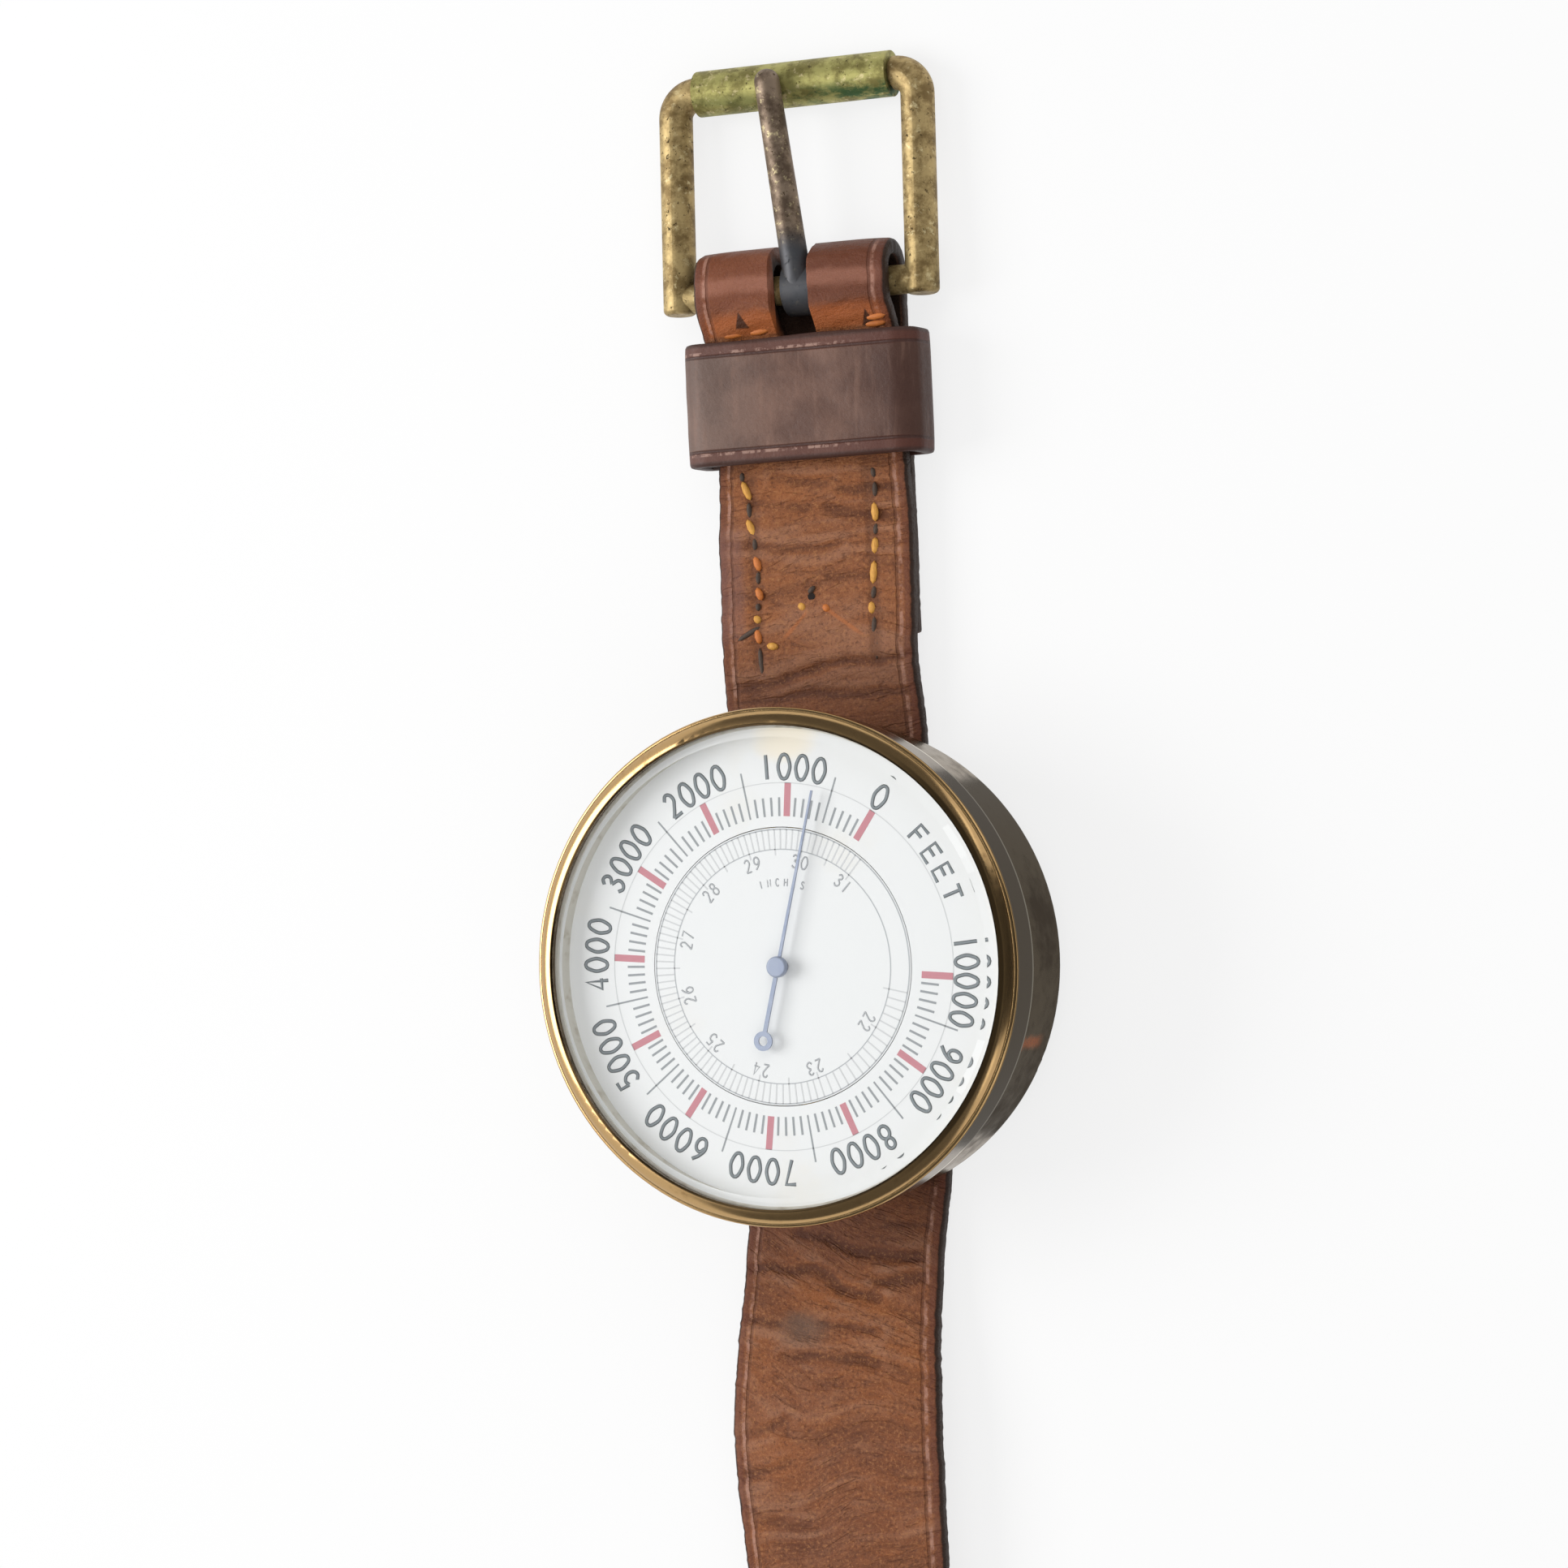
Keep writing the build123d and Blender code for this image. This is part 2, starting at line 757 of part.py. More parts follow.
# Inner dial, on two feet that stand on the upper bar
with BuildPart() as inner_dial:
    with BuildSketch(Plane.XY.offset(dial_back_z)):
        Circle(inner_dial_radius)
        Circle(dial_arbor_hole, mode=Mode.SUBTRACT)
    extrude(amount=dial_sheet)
    with Locations(*[(x, y, dial_back_z) for x, y in dial_feet]):
        Cylinder(dial_foot_radius, dial_room, align=top)
        Cylinder(dial_foot_spigot, dial_room + bar_thickness, align=top)
save(inner_dial.part, "inner_dial")

# Altitude ring, turning with the bezel
ring_radius = inner_dial_radius + inner_dial_play

with BuildPart() as altitude_ring:
    with BuildSketch(Plane.XY.offset(dial_back_z)):
        Circle(stack_radius)
        Circle(ring_radius, mode=Mode.SUBTRACT)
    extrude(amount=dial_sheet)
save(altitude_ring.part, "altitude_ring")

# Spacer ring between the altitude ring and the glass, its inner wall leaning outward
with BuildPart() as spacer_ring:
    with BuildSketch(Plane.XZ):
        with BuildLine():
            Polyline(
                (stack_radius, dial_z),
                (stack_radius, glass_z),
                (stack_radius - spacer_wall, glass_z),
                (stack_radius - spacer_wall - spacer_slope, dial_z),
                close=True,
            )
        make_face()
    revolve(axis=Axis.Z)
save(spacer_ring.part, "spacer_ring")

# Bevelled glass
glass_edge_z = glass_z + glass_edge
bevel_start = lip_radius - 2 * glass_play
bevel_end = bevel_start - glass_bevel_width

with BuildPart() as glass:
    with BuildSketch(Plane.XZ):
        with BuildLine():
            Polyline(
                (0, glass_z),
                (stack_radius, glass_z),
                (stack_radius, glass_edge_z),
                (bevel_start, glass_edge_z),
                (bevel_end, glass_edge_z + glass_bevel_rise),
                (0, glass_edge_z + glass_bevel_rise),
                close=True,
            )
        make_face()
    revolve(axis=Axis.Z)
save(glass.part, "glass")

# Bezel, a crowned rim with a bead and a plain skirt that turns on the case
rim_radius = skirt_radius - rim_inset
rim_edge_z = top_z - rim_fall
bead_z = rim_edge_z - rim_step
crown_start = lip_radius + lip_edge
skirt_start_z = bead_z - bead_height

with BuildPart() as bezel:
    with BuildSketch(Plane.XZ):
        with BuildLine():
            Polyline(
                (rim_radius, rim_edge_z),
                (rim_radius, bead_z),
                (skirt_radius, bead_z),
            )
            ThreePointArc(
                (skirt_radius, bead_z),
                (skirt_radius + bead_out, (bead_z + skirt_start_z) / 2),
                (skirt_radius, skirt_start_z),
            )
            Polyline(
                (skirt_radius, skirt_start_z),
                (skirt_radius, skirt_z),
                (bore_radius, skirt_z),
                (bore_radius, seat_z),
                (lip_radius, seat_z),
                (lip_radius, top_z - lip_edge),
                (crown_start, top_z),
            )
            ThreePointArc(
                (crown_start, top_z),
                ((crown_start + rim_radius) / 2, (top_z + rim_edge_z) / 2 + rim_crown),
                (rim_radius, rim_edge_z),
            )
        make_face()
        with Locations((bore_radius, wire_z)):
            Rectangle(wire_size, wire_size, mode=Mode.SUBTRACT)
    revolve(axis=Axis.Z)
save(bezel.part, "bezel")

# Split wire that keeps the bezel on the case
with BuildPart() as bezel_wire:
    with BuildSketch(Plane.XZ):
        with Locations((bore_radius, wire_z)):
            Rectangle(wire_size, wire_size)
    revolve(axis=Axis.Z)
    with Locations((0, -case_radius, wire_z)):
        Box(wire_split, 4 * wire_size, 2 * wire_size, mode=Mode.SUBTRACT)
save(bezel_wire.part, "bezel_wire")

# Pointer, a thin tapered needle with a ring at its tail
pointer_plane = Plane.XY.offset(hub_z).rotated((0, 0, -pointer_angle))

with BuildPart() as pointer:
    with BuildSketch(pointer_plane):
        with BuildLine():
            Polyline(
                (-pointer_root_width / 2, 0),
                (pointer_root_width / 2, 0),
                (pointer_tip_width / 2, pointer_reach),
                (-pointer_tip_width / 2, pointer_reach),
                close=True,
            )
        make_face()
        with Locations((0, -tail_reach / 2)):
            Rectangle(tail_width, tail_reach)
        with Locations((0, -tail_reach)):
            Circle(tail_ring)
            Circle(tail_hole, mode=Mode.SUBTRACT)
    extrude(amount=pointer_thickness)
    with BuildSketch(pointer_plane):
        Circle(pointer_hub)
    extrude(amount=hub_top_z - hub_z)
    fillet(pointer.faces().sort_by(Axis.Z)[-1].edges(), hub_round)
    with Locations((0, 0, hub_z)):
        Cylinder(arbor_radius, 2 * (hub_top_z - hub_round - hub_z), mode=Mode.SUBTRACT)
save(pointer.part, "pointer")

# Strap in one piece, from the free end under the case to the buckle's bar and back below itself
bar_y = bar_reach
strap_z = leather / 2
under_case_z = strap_top_z - leather / 2
doubled_z = leather + glue_line + leather / 2
over_tab_z = leather + keeper_tab + glue_line + leather / 2
eye_z = leather + eye_height + leather / 2
bar_z = leather + eye_height / 2
keeper_top_y = bar_y - keeper_back
keeper_low_y = keeper_top_y - keeper_length
fold_radius = (eye_z - strap_z) / 2 - glue_line
eye_start_y = bar_y - eye_height / 2 + eye_lead
case_edge = case_radius + case_edge_round + leather

strap_run = [
    ((-strap_reach, strap_z), 0),
    ((-hump_foot_reach, strap_z), hump_bend),
    ((-hump_far_reach, strap_z + hump_height), hump_bend),
    ((-hump_near_reach, strap_z + hump_height), hump_bend),
    ((-case_edge, under_case_z), case_bend),
    ((case_radius - leather, under_case_z), case_bend),
    ((turn_back_reach - lap_ramp, doubled_z), case_bend),
    ((keeper_low_y - keeper_ramp, doubled_z), case_bend),
    ((keeper_low_y - keeper_ramp_end, over_tab_z), case_bend / 2),
    ((keeper_top_y, over_tab_z), eye_bend),
    ((eye_start_y, eye_z), eye_bend),
    ((bar_y + eye_reach, eye_z), fold_radius),
    ((bar_y + eye_reach, strap_z), fold_radius),
    ((turn_back_reach, strap_z), 0),
]

with BuildPart() as strap:
    with BuildSketch(Plane.YZ.offset(strap_shift)):
        with BuildLine():
            FilletPolyline(
                *[point for point, bend in strap_run],
                radius=[bend for point, bend in strap_run[1:-1]],
            )
        trace(line_width=leather)
    extrude(amount=strap_width / 2, both=True)
    with BuildSketch(Plane.XY):
        with BuildLine():
            tip_y = -strap_reach
            end_y = bar_y + 2 * eye_height
            left_x = strap_shift - strap_width / 2
            right_x = strap_shift + strap_width / 2
            shoulder_y = tip_y + tip_length
            Polyline(
                (left_x, shoulder_y), (left_x, end_y), (right_x, end_y), (right_x, shoulder_y)
            )
            for edge_x, inward in ((right_x, -1), (left_x, 1)):
                ThreePointArc(
                    (edge_x, shoulder_y),
                    (edge_x + inward * tip_waist, tip_y + tip_shoulder),
                    (strap_shift, tip_y),
                )
        make_face()
    extrude(amount=2 * eye_z, mode=Mode.INTERSECT)
    with BuildSketch(Plane.XY):
        with Locations(*[(strap_shift, -hole_first - hole_pitch * n) for n in range(hole_count)]):
            Circle(hole_radius)
        slot_end = bar_y + 2 * eye_reach
        slot_start = bar_y - slot_cut_back
        with Locations((strap_shift, (slot_start + slot_end) / 2)):
            SlotOverall(slot_end - slot_start, slot_cut_width, rotation=90)
    extrude(amount=2 * eye_z, mode=Mode.SUBTRACT)
save(strap.part, "strap")

# Keeper, a leather loop sewn between the strap's two layers
keeper_plane = Plane(origin=(keeper_shift, keeper_top_y, 0), x_dir=(1, 0, 0), z_dir=(0, -1, 0))
keeper_foot_z = leather + glue_line / 2
keeper_half = strap_width / 2 + keeper_side_play + keeper_leather / 2
keeper_arch_z = over_tab_z + leather / 2 + keeper_head_room + keeper_leather / 2

with BuildPart() as keeper:
    with BuildSketch(keeper_plane):
        with BuildLine():
            FilletPolyline(
                (-keeper_half, keeper_foot_z),
                (-keeper_half, keeper_arch_z),
                (keeper_half, keeper_arch_z),
                (keeper_half, keeper_foot_z),
                radius=keeper_round,
            )
        trace(line_width=keeper_leather)
        tab_length = keeper_half - keeper_tab_reach
        tab_centre = (keeper_half + keeper_tab_reach) / 2
        with Locations((-tab_centre, keeper_foot_z), (tab_centre, keeper_foot_z)):
            Rectangle(tab_length, keeper_tab, align=(Align.CENTER, Align.MIN))
    extrude(amount=keeper_length)
save(keeper.part, "keeper")

# Buckle frame of bent and soldered brass rod, leaning down until its roller meets the table
lean = asin((bar_z - roller_radius - table_gap) / frame_depth)
buckle_plane = Plane(
    origin=(strap_shift, bar_y, bar_z), x_dir=(1, 0, 0), z_dir=(0, sin(lean), cos(lean))
)
strap_mid_plane = Plane(origin=(strap_shift, 0, 0), z_dir=(1, 0, 0))
side_x = frame_inner_width / 2 + frame_rod
bar_ends_plane = Plane(
    origin=buckle_plane.from_local_coords((-side_x, 0, 0)), x_dir=(0, 0, 1), z_dir=(1, 0, 0)
)
corner_end = side_x - frame_corner - glue_line
top_bar_plane = Plane(
    origin=buckle_plane.from_local_coords((-corner_end, frame_depth, 0)),
    x_dir=(0, 0, 1),
    z_dir=(1, 0, 0),
)

with BuildPart() as buckle_frame:
    with BuildLine(buckle_plane) as side_line:
        FilletPolyline(
            (side_x, -frame_foot),
            (side_x, frame_depth),
            (corner_end, frame_depth),
            radius=frame_corner,
        )
    with BuildSketch(side_line.line ^ 0):
        Circle(frame_rod)
    sweep()
    foot_edge = buckle_frame.faces().sort_by(Axis.Y)[0].edges()
    fillet(foot_edge, frame_foot_round)
    mirror(about=strap_mid_plane)
    with BuildSketch(bar_ends_plane):
        Circle(frame_bar)
    extrude(amount=2 * side_x)
    with BuildSketch(top_bar_plane):
        Circle(frame_top_bar)
    extrude(amount=2 * corner_end)
save(buckle_frame.part, "buckle_frame")

# Roller, a brass tube turning on the frame's top bar
roller_plane = Plane(
    origin=buckle_plane.from_local_coords((-roller_length / 2, frame_depth, 0)),
    x_dir=(0, 0, 1),
    z_dir=(1, 0, 0),
)

with BuildPart() as buckle_roller:
    with BuildSketch(roller_plane):
        Circle(roller_radius)
        Circle(frame_top_bar + roller_play, mode=Mode.SUBTRACT)
    extrude(amount=roller_length)
save(buckle_roller.part, "buckle_roller")

# Prong, an eye bent round the bar and a tapered arm that lies on the roller
prong_eye_plane = Plane(
    origin=buckle_plane.from_local_coords((prong_shift, 0, 0)), x_dir=(0, 0, 1), z_dir=(1, 0, 0)
)
arm_root = buckle_plane.from_local_coords((prong_shift, 0, prong_rise))
arm_tip_z = roller_radius + prong_gap + prong_tip
arm_tip = buckle_plane.from_local_coords((-prong_skew, prong_reach - prong_tip, arm_tip_z))

with BuildPart() as buckle_prong:
    with BuildSketch(prong_eye_plane):
        Circle(prong_eye)
    extrude(amount=prong_width / 2, both=True)
    with BuildSketch(Plane(origin=arm_root, z_dir=arm_tip - arm_root)):
        Circle(prong_root)
    with BuildSketch(Plane(origin=arm_tip, z_dir=arm_tip - arm_root)):
        Circle(prong_tip)
    loft()
    with Locations(arm_tip):
        Sphere(prong_tip)
    with BuildSketch(prong_eye_plane):
        Circle(frame_bar + prong_play)
    extrude(amount=prong_width, both=True, mode=Mode.SUBTRACT)
save(buckle_prong.part, "buckle_prong")
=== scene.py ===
# %% [markdown]
# # A wrist altimeter
#
# This lesson dresses a finished CAD model: a turned brass instrument on a leather strap.
# The CAD parts keep their shapes and get materials here. What is soft or printed is modelled
# around them: the leather, the stitching and the print of the dial. Everything is in the same
# frame as the CAD parts, in metres. The object's own sizes are written in mm, times MM.

# %% Load the CAD parts
import math

import bmesh
import bpy
from mathutils import Matrix, Vector, noise


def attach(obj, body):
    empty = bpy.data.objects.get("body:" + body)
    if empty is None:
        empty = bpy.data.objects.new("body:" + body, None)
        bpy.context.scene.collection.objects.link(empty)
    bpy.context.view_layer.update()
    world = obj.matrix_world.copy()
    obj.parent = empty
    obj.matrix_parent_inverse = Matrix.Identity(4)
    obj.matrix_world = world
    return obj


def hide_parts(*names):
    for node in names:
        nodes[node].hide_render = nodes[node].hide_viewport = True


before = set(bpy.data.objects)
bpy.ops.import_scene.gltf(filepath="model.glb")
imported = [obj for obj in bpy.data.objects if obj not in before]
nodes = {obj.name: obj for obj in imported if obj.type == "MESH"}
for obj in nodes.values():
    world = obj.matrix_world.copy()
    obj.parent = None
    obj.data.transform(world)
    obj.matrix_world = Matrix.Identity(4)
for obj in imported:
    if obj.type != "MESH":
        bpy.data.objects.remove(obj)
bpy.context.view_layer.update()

MM = 0.001


# %% [markdown]
# ## The camera
#
# The photograph was taken from above and a little to the right, so the case's right side shows.
# A camera looks along its own -Z, so its matrix is made from three directions: right, up and back.
# It could also be aimed with a Track To constraint, but a matrix says exactly what it is.

# %% Camera
TILT = math.radians(22.95)
TURN = math.radians(2.75)
CAMERA_PLACE = Vector((236.3, 11.0, 577.1)) * MM
LENS = 113.26
SENSOR = 36
NEAR_CLIP = 0.01

camera_right = Vector((
    math.cos(TILT) * math.cos(TURN), -math.cos(TILT) * math.sin(TURN), -math.sin(TILT)
))
camera_up = Vector((math.sin(TURN), math.cos(TURN), 0))
camera_back = camera_right.cross(camera_up)

camera_data = bpy.data.cameras.new("camera")
camera_data.lens = LENS
camera_data.sensor_width = SENSOR
camera_data.clip_start = NEAR_CLIP
camera = bpy.data.objects.new("camera", camera_data)
camera.matrix_world = Matrix.Translation(CAMERA_PLACE) @ Matrix(
    (camera_right, camera_up, camera_back)
).transposed().to_4x4()
bpy.context.scene.collection.objects.link(camera)
bpy.context.scene.camera = camera
bpy.context.scene.view_settings.view_transform = "Standard"
print("camera looks along", [round(c, 3) for c in -camera_back])

# %% [markdown]
# ## Shader maths as Python
#
# A procedural material is a sum of nodes. Wiring each Math node by hand is long to read, so a
# small class holds a socket and lets Python's own + - * / add the Math node. Everything else
# comes from one method, `node`, which takes the node's type, its settings and its inputs.

# %% Sockets that do sums
class Value:
    """A node's output that takes + - * / and adds a Math node for each."""

    def __init__(self, wiring, socket):
        self.wiring = wiring
        self.socket = socket

    def math(self, operation, *values):
        return self.wiring.node("ShaderNodeMath", {"operation": operation}, values)

    def __add__(self, other):
        return self.math("ADD", self, other)

    def __sub__(self, other):
        return self.math("SUBTRACT", self, other)

    def __rsub__(self, other):
        return self.math("SUBTRACT", other, self)

    def __mul__(self, other):
        return self.math("MULTIPLY", self, other)

    def __abs__(self):
        return self.math("ABSOLUTE", self)

    __radd__ = __add__
    __rmul__ = __mul__

    def other(self, name):
        """Another output of the same node."""
        return Value(self.wiring, self.socket.node.outputs[name])

    def spread(self, low, high, start=0.0, end=1.0):
        """start below low, end above high, and a smooth step between."""
        settings = {"interpolation_type": "SMOOTHSTEP"}
        return self.wiring.node("ShaderNodeMapRange", settings, [self, low, high, start, end])

    def band(self, low, full, still_full, high):
        """1 from full to still_full, and 0 below low and above high."""
        return self.spread(low, full) * self.spread(high, still_full)


# %% A node tree with one method for any node
class Wiring:
    """A node tree. Its other methods are short names for the nodes that are used most."""

    def __init__(self, tree):
        self.tree = tree

    def node(self, kind, settings=None, inputs=(), output=0):
        made = self.tree.nodes.new(kind)
        for key, value in (settings or {}).items():
            setattr(made, key, value)
        pairs = inputs.items() if isinstance(inputs, dict) else enumerate(inputs)
        for key, value in pairs:
            if isinstance(value, Value):
                self.tree.links.new(value.socket, made.inputs[key])
            else:
                made.inputs[key].default_value = value
        return Value(self, made.outputs[output])

    def looking(self):
        """A factor that is 1 for rays that look: from the camera, off metal, or through glass."""
        camera_ray = self.node("ShaderNodeLightPath")
        total = camera_ray
        for name in ("Is Glossy Ray", "Is Transmission Ray"):
            total = total.math("MAXIMUM", total, camera_ray.other(name))
        return total * total.math("LESS_THAN", camera_ray.other("Diffuse Depth"), 0.5)


# %% Materials made by one class
def paint(red, green, blue):
    """A colour as it looks on screen, 0 to 255, turned into the linear values of a shader."""
    shown = [c / 255 for c in (red, green, blue)]
    linear = [c / 12.92 if c <= 0.04045 else ((c + 0.055) / 1.055) ** 2.4 for c in shown]
    return (*linear, 1.0)


class Finish(Wiring):
    """A material: its uniform values are set on the shader's sockets, the rest is wired in.

    x, y and z are the place on the object in mm. tone is the colour so far. Other colours are
    given as red, green and blue.
    """

    def __init__(self, name, **uniform):
        self.material = bpy.data.materials.new(name)
        self.material.use_nodes = True
        super().__init__(self.material.node_tree)
        self.shader = self.tree.nodes["Principled BSDF"]
        for socket, value in uniform.items():
            self.shader.inputs[socket.replace("_", " ")].default_value = value
        place = self.node("ShaderNodeTexCoord").other("Object")
        scale = {"operation": "SCALE"}
        self.place = self.node("ShaderNodeVectorMath", scale, {"Vector": place, "Scale": 1 / MM})
        self.x = self.node("ShaderNodeSeparateXYZ", {}, [self.place])
        self.y = self.x.other("Y")
        self.z = self.x.other("Z")
        self.tone = None

    def feed(self, socket, value):
        self.tree.links.new(value.socket, self.shader.inputs[socket])

    def cover(self, mask, other):
        """Shows another shader where the mask is 1."""
        own = Value(self, self.shader.outputs[0])
        both = self.node("ShaderNodeMixShader", {}, [mask, own, other])
        self.tree.links.new(both.socket, self.tree.nodes["Material Output"].inputs["Surface"])

    def noise(self, scale, stretch=(1, 1, 1), shift=(0, 0, 0), detail=3.0, rough=0.55, at=None):
        """Cloudy values round 0.5. scale is in patches per mm, stretch narrows them by axis."""
        inputs = {"Vector": at or self.place, "Location": shift, "Scale": stretch}
        place = self.node("ShaderNodeMapping", {}, inputs)
        inputs = {"Vector": place, "Scale": scale, "Detail": detail, "Roughness": rough}
        return self.node("ShaderNodeTexNoise", {}, inputs)

    def base(self, mask, *colours):
        """Sets the colour: the first, and the second where the mask is 1."""
        first, second = (c if isinstance(c, Value) else paint(*c) for c in colours)
        inputs = {0: mask, 6: first, 7: second}
        self.tone = self.node("ShaderNodeMix", {"data_type": "RGBA"}, inputs, output=2)
        self.feed("Base Color", self.tone)

    def coat(self, mask, *colour):
        """Lays a colour over what is there, where the mask is 1."""
        self.base(mask, self.tone, colour)

    def bump(self, height, distance, strength=1.0):
        """Relief. height is 0 to 1, distance is what 1 stands for, in mm."""
        inputs = {"Height": height, "Distance": distance * MM, "Strength": strength}
        self.feed("Normal", self.node("ShaderNodeBump", {}, inputs))

    def attribute(self, name):
        return self.node("ShaderNodeAttribute", {"attribute_name": name}, output="Fac")

    def around(self, x, y, across, along):
        """0 at a place, and the more the further from it: the squares of the distances."""
        return (self.x - x) * (self.x - x) * across + (self.y - y) * (self.y - y) * along


def dress(finish, *names):
    """Gives CAD nodes a material."""
    for name in names:
        mesh = nodes[name].data
        mesh.materials.clear()
        mesh.materials.append(finish.material)


# %% [markdown]
# ## Floor, light and dark cards
#
# A photographer lights brass by what stands round it, because polished metal shows its
# surroundings. White surroundings alone would make the bezel flat and pale, so dark cards
# stand at the right, in front, behind and above, and a grey one lies beside the case. Only
# reflection rays see them, so they take no light from the leather or the dial.

# %% Floor
FLOOR_GAP = 0.15
FLOOR_SIZE = 3.0
FLOOR_COLOUR = (0.86, 0.86, 0.86, 1)
FLOOR_WHITE = 0.78


def new_piece(name, bm, *finishes, smooth=True):
    """A mesh object at the origin from a bmesh."""
    mesh = bpy.data.meshes.new(name)
    bm.to_mesh(mesh)
    bm.free()
    for finish in finishes:
        mesh.materials.append(finish.material)
    if smooth:
        mesh.shade_smooth()
    piece = bpy.data.objects.new(name, mesh)
    bpy.context.scene.collection.objects.link(piece)
    return piece


def stage_plane(name, size, matrix, finish):
    """A flat sheet of the studio, which isn't part of the object."""
    bm = bmesh.new()
    bmesh.ops.create_grid(bm, x_segments=1, y_segments=1, size=size / 2, matrix=matrix)
    sheet = new_piece(name, bm, finish, smooth=False)
    return sheet


floor_paint = Finish("floor", Base_Color=FLOOR_COLOUR, Roughness=1.0, Specular_IOR_Level=0.0)
floor_paint.cover(floor_paint.looking() * FLOOR_WHITE, floor_paint.node("ShaderNodeEmission"))
stage_plane("floor", FLOOR_SIZE, Matrix.Translation((0, 0, -FLOOR_GAP * MM)), floor_paint)
print("floor:", FLOOR_SIZE, "m wide")

# %% World
AMBIENT = 0.4

world = bpy.data.worlds.new("world")
bpy.context.scene.world = world
world.use_nodes = True
sky = Wiring(world.node_tree)
level = sky.node(
    "ShaderNodeMapRange", {}, {"Value": sky.looking(), "To Min": AMBIENT, "To Max": 1.0}
)
background = world.node_tree.nodes["Background"]
background.inputs["Color"].default_value = (1, 1, 1, 1)
world.node_tree.links.new(level.socket, background.inputs["Strength"])
print("ambient light", AMBIENT)


# %% Lamps
LAMP_DISTANCE = 0.9


def toward(azimuth, elevation, distance):
    """Place and turn of something that faces the object. azimuth runs from +X toward +Y."""
    a, e = math.radians(azimuth), math.radians(elevation)
    away = Vector((math.cos(e) * math.cos(a), math.cos(e) * math.sin(a), math.sin(e)))
    return Matrix.Translation(away * distance) @ away.to_track_quat("Z", "Y").to_matrix().to_4x4()


def softbox(name, azimuth, elevation, size, power):
    """A square lamp. The glass doesn't show it, or its bevel would glare."""
    lamp = bpy.data.lights.new(name, "AREA")
    lamp.shape = "SQUARE"
    lamp.size = size
    lamp.energy = power
    holder = bpy.data.objects.new(name, lamp)
    holder.matrix_world = toward(azimuth, elevation, LAMP_DISTANCE)
    holder.visible_transmission = False
    bpy.context.scene.collection.objects.link(holder)


softbox("key", 172, 42, size=0.55, power=5.4)
softbox("fill", -60, 60, size=0.8, power=1.7)
softbox("back_fill", 68, 53, size=0.8, power=1.7)


# %% Cards
def card(name, place, width, height, shade):
    """A card that only reflection rays see. shade is its brightness."""
    finish = Finish(
        name, Base_Color=(0, 0, 0, 1), Specular_IOR_Level=0.0,
        Emission_Color=(shade, shade, shade, 1), Emission_Strength=1.0,
    )
    sheet = stage_plane(name, 1.0, place @ Matrix.Diagonal((width, height, 1, 1)), finish)
    for rays in ("camera", "diffuse", "shadow", "transmission", "volume_scatter"):
        setattr(sheet, "visible_" + rays, False)


card("card_right", toward(0, 40, 0.7), 0.6, 0.75, 0.05)
card("card_back", toward(92, 40, 0.7), 0.9, 0.7, 0.14)
card("card_front", toward(-92, 40, 0.7), 0.9, 0.7, 0.14)
card("card_top", toward(0, 90, 0.75), 0.8, 0.8, 0.14)
card("card_low", Matrix.Translation((0.12, 0, 0)) @ toward(0, 90, 0.0001), 0.2, 0.18, 0.25)

# %% [markdown]
# ## Brass, steel and patina
#
# A metal is a Principled shader with Metallic at 1: its Base Color is the colour of what it
# reflects. Old brass isn't one colour, so noise mixes a clean tone with a brown one, and the
# same mask raises the Roughness, because tarnish is dull. Faint upright scratches go in as
# bump. The alternative, an image of brass, would blur when the camera comes near.

# %% A metal finish
def metal(name, clean, tarnish, rough, amount=0.5, patch=0.12, scratched=0.5):
    """A metal with tarnish in patches. amount is how much of it is tarnished."""
    finish = Finish(name, Metallic=1)
    cloud = finish.noise(patch, detail=5, rough=0.6)
    fine = finish.noise(patch * 9, shift=(3, 7, 1), detail=3)
    mask = (cloud * 0.7 + fine * 0.3).spread(0.72 - amount * 0.5, 0.92 - amount * 0.5)
    finish.base(mask, clean, tarnish)
    finish.feed("Roughness", rough + mask * 0.16 + fine * 0.08)
    scratches = finish.noise(2.5, stretch=(1, 1, 0.15), detail=2)
    finish.bump(scratches, 0.006, scratched)
    return finish


movement_brass = metal("movement_brass", (206, 172, 96), (150, 112, 60), 0.25)
capsule_metal = metal("capsule_metal", (205, 190, 150), (150, 130, 95), 0.3)
steel = metal("steel", (170, 170, 172), (95, 88, 80), 0.25, amount=0.3)
blued_steel = metal("blued_steel", (88, 98, 140), (50, 56, 84), 0.3, amount=0.3)
dress(
    movement_brass, "base_plate", "capsule_nut", "spring_bracket", "spring_clamp", "rocker_cocks",
    "lower_pillars", "lower_bar", "upper_pillars", "upper_bar", "hairspring_stud", "lever",
)
dress(capsule_metal, "capsule")
dress(
    steel, "case_screws", "clamp_screws", "cock_screws", "bar_screws", "adjusting_screw", "rocker",
    "compensating_strip", "lever_screw", "connecting_link", "chain", "bezel_wire", "centre_arbor",
)
dress(blued_steel, "main_spring", "hairspring")
print("movement:", [f.material.name for f in (movement_brass, capsule_metal, steel, blued_steel)])

# %% The bezel: a dull outer wall, a polished rim, a painted highlight on the skirt's lower edge and painted shade against the glass and on the rim's right
WALL_TOP = 23.65
WALL_RADIUS = 30.7
SKIRT_END = 18.1
LIP_RADIUS = 29.85
RIM_SHADE_RADIUS = 30.4

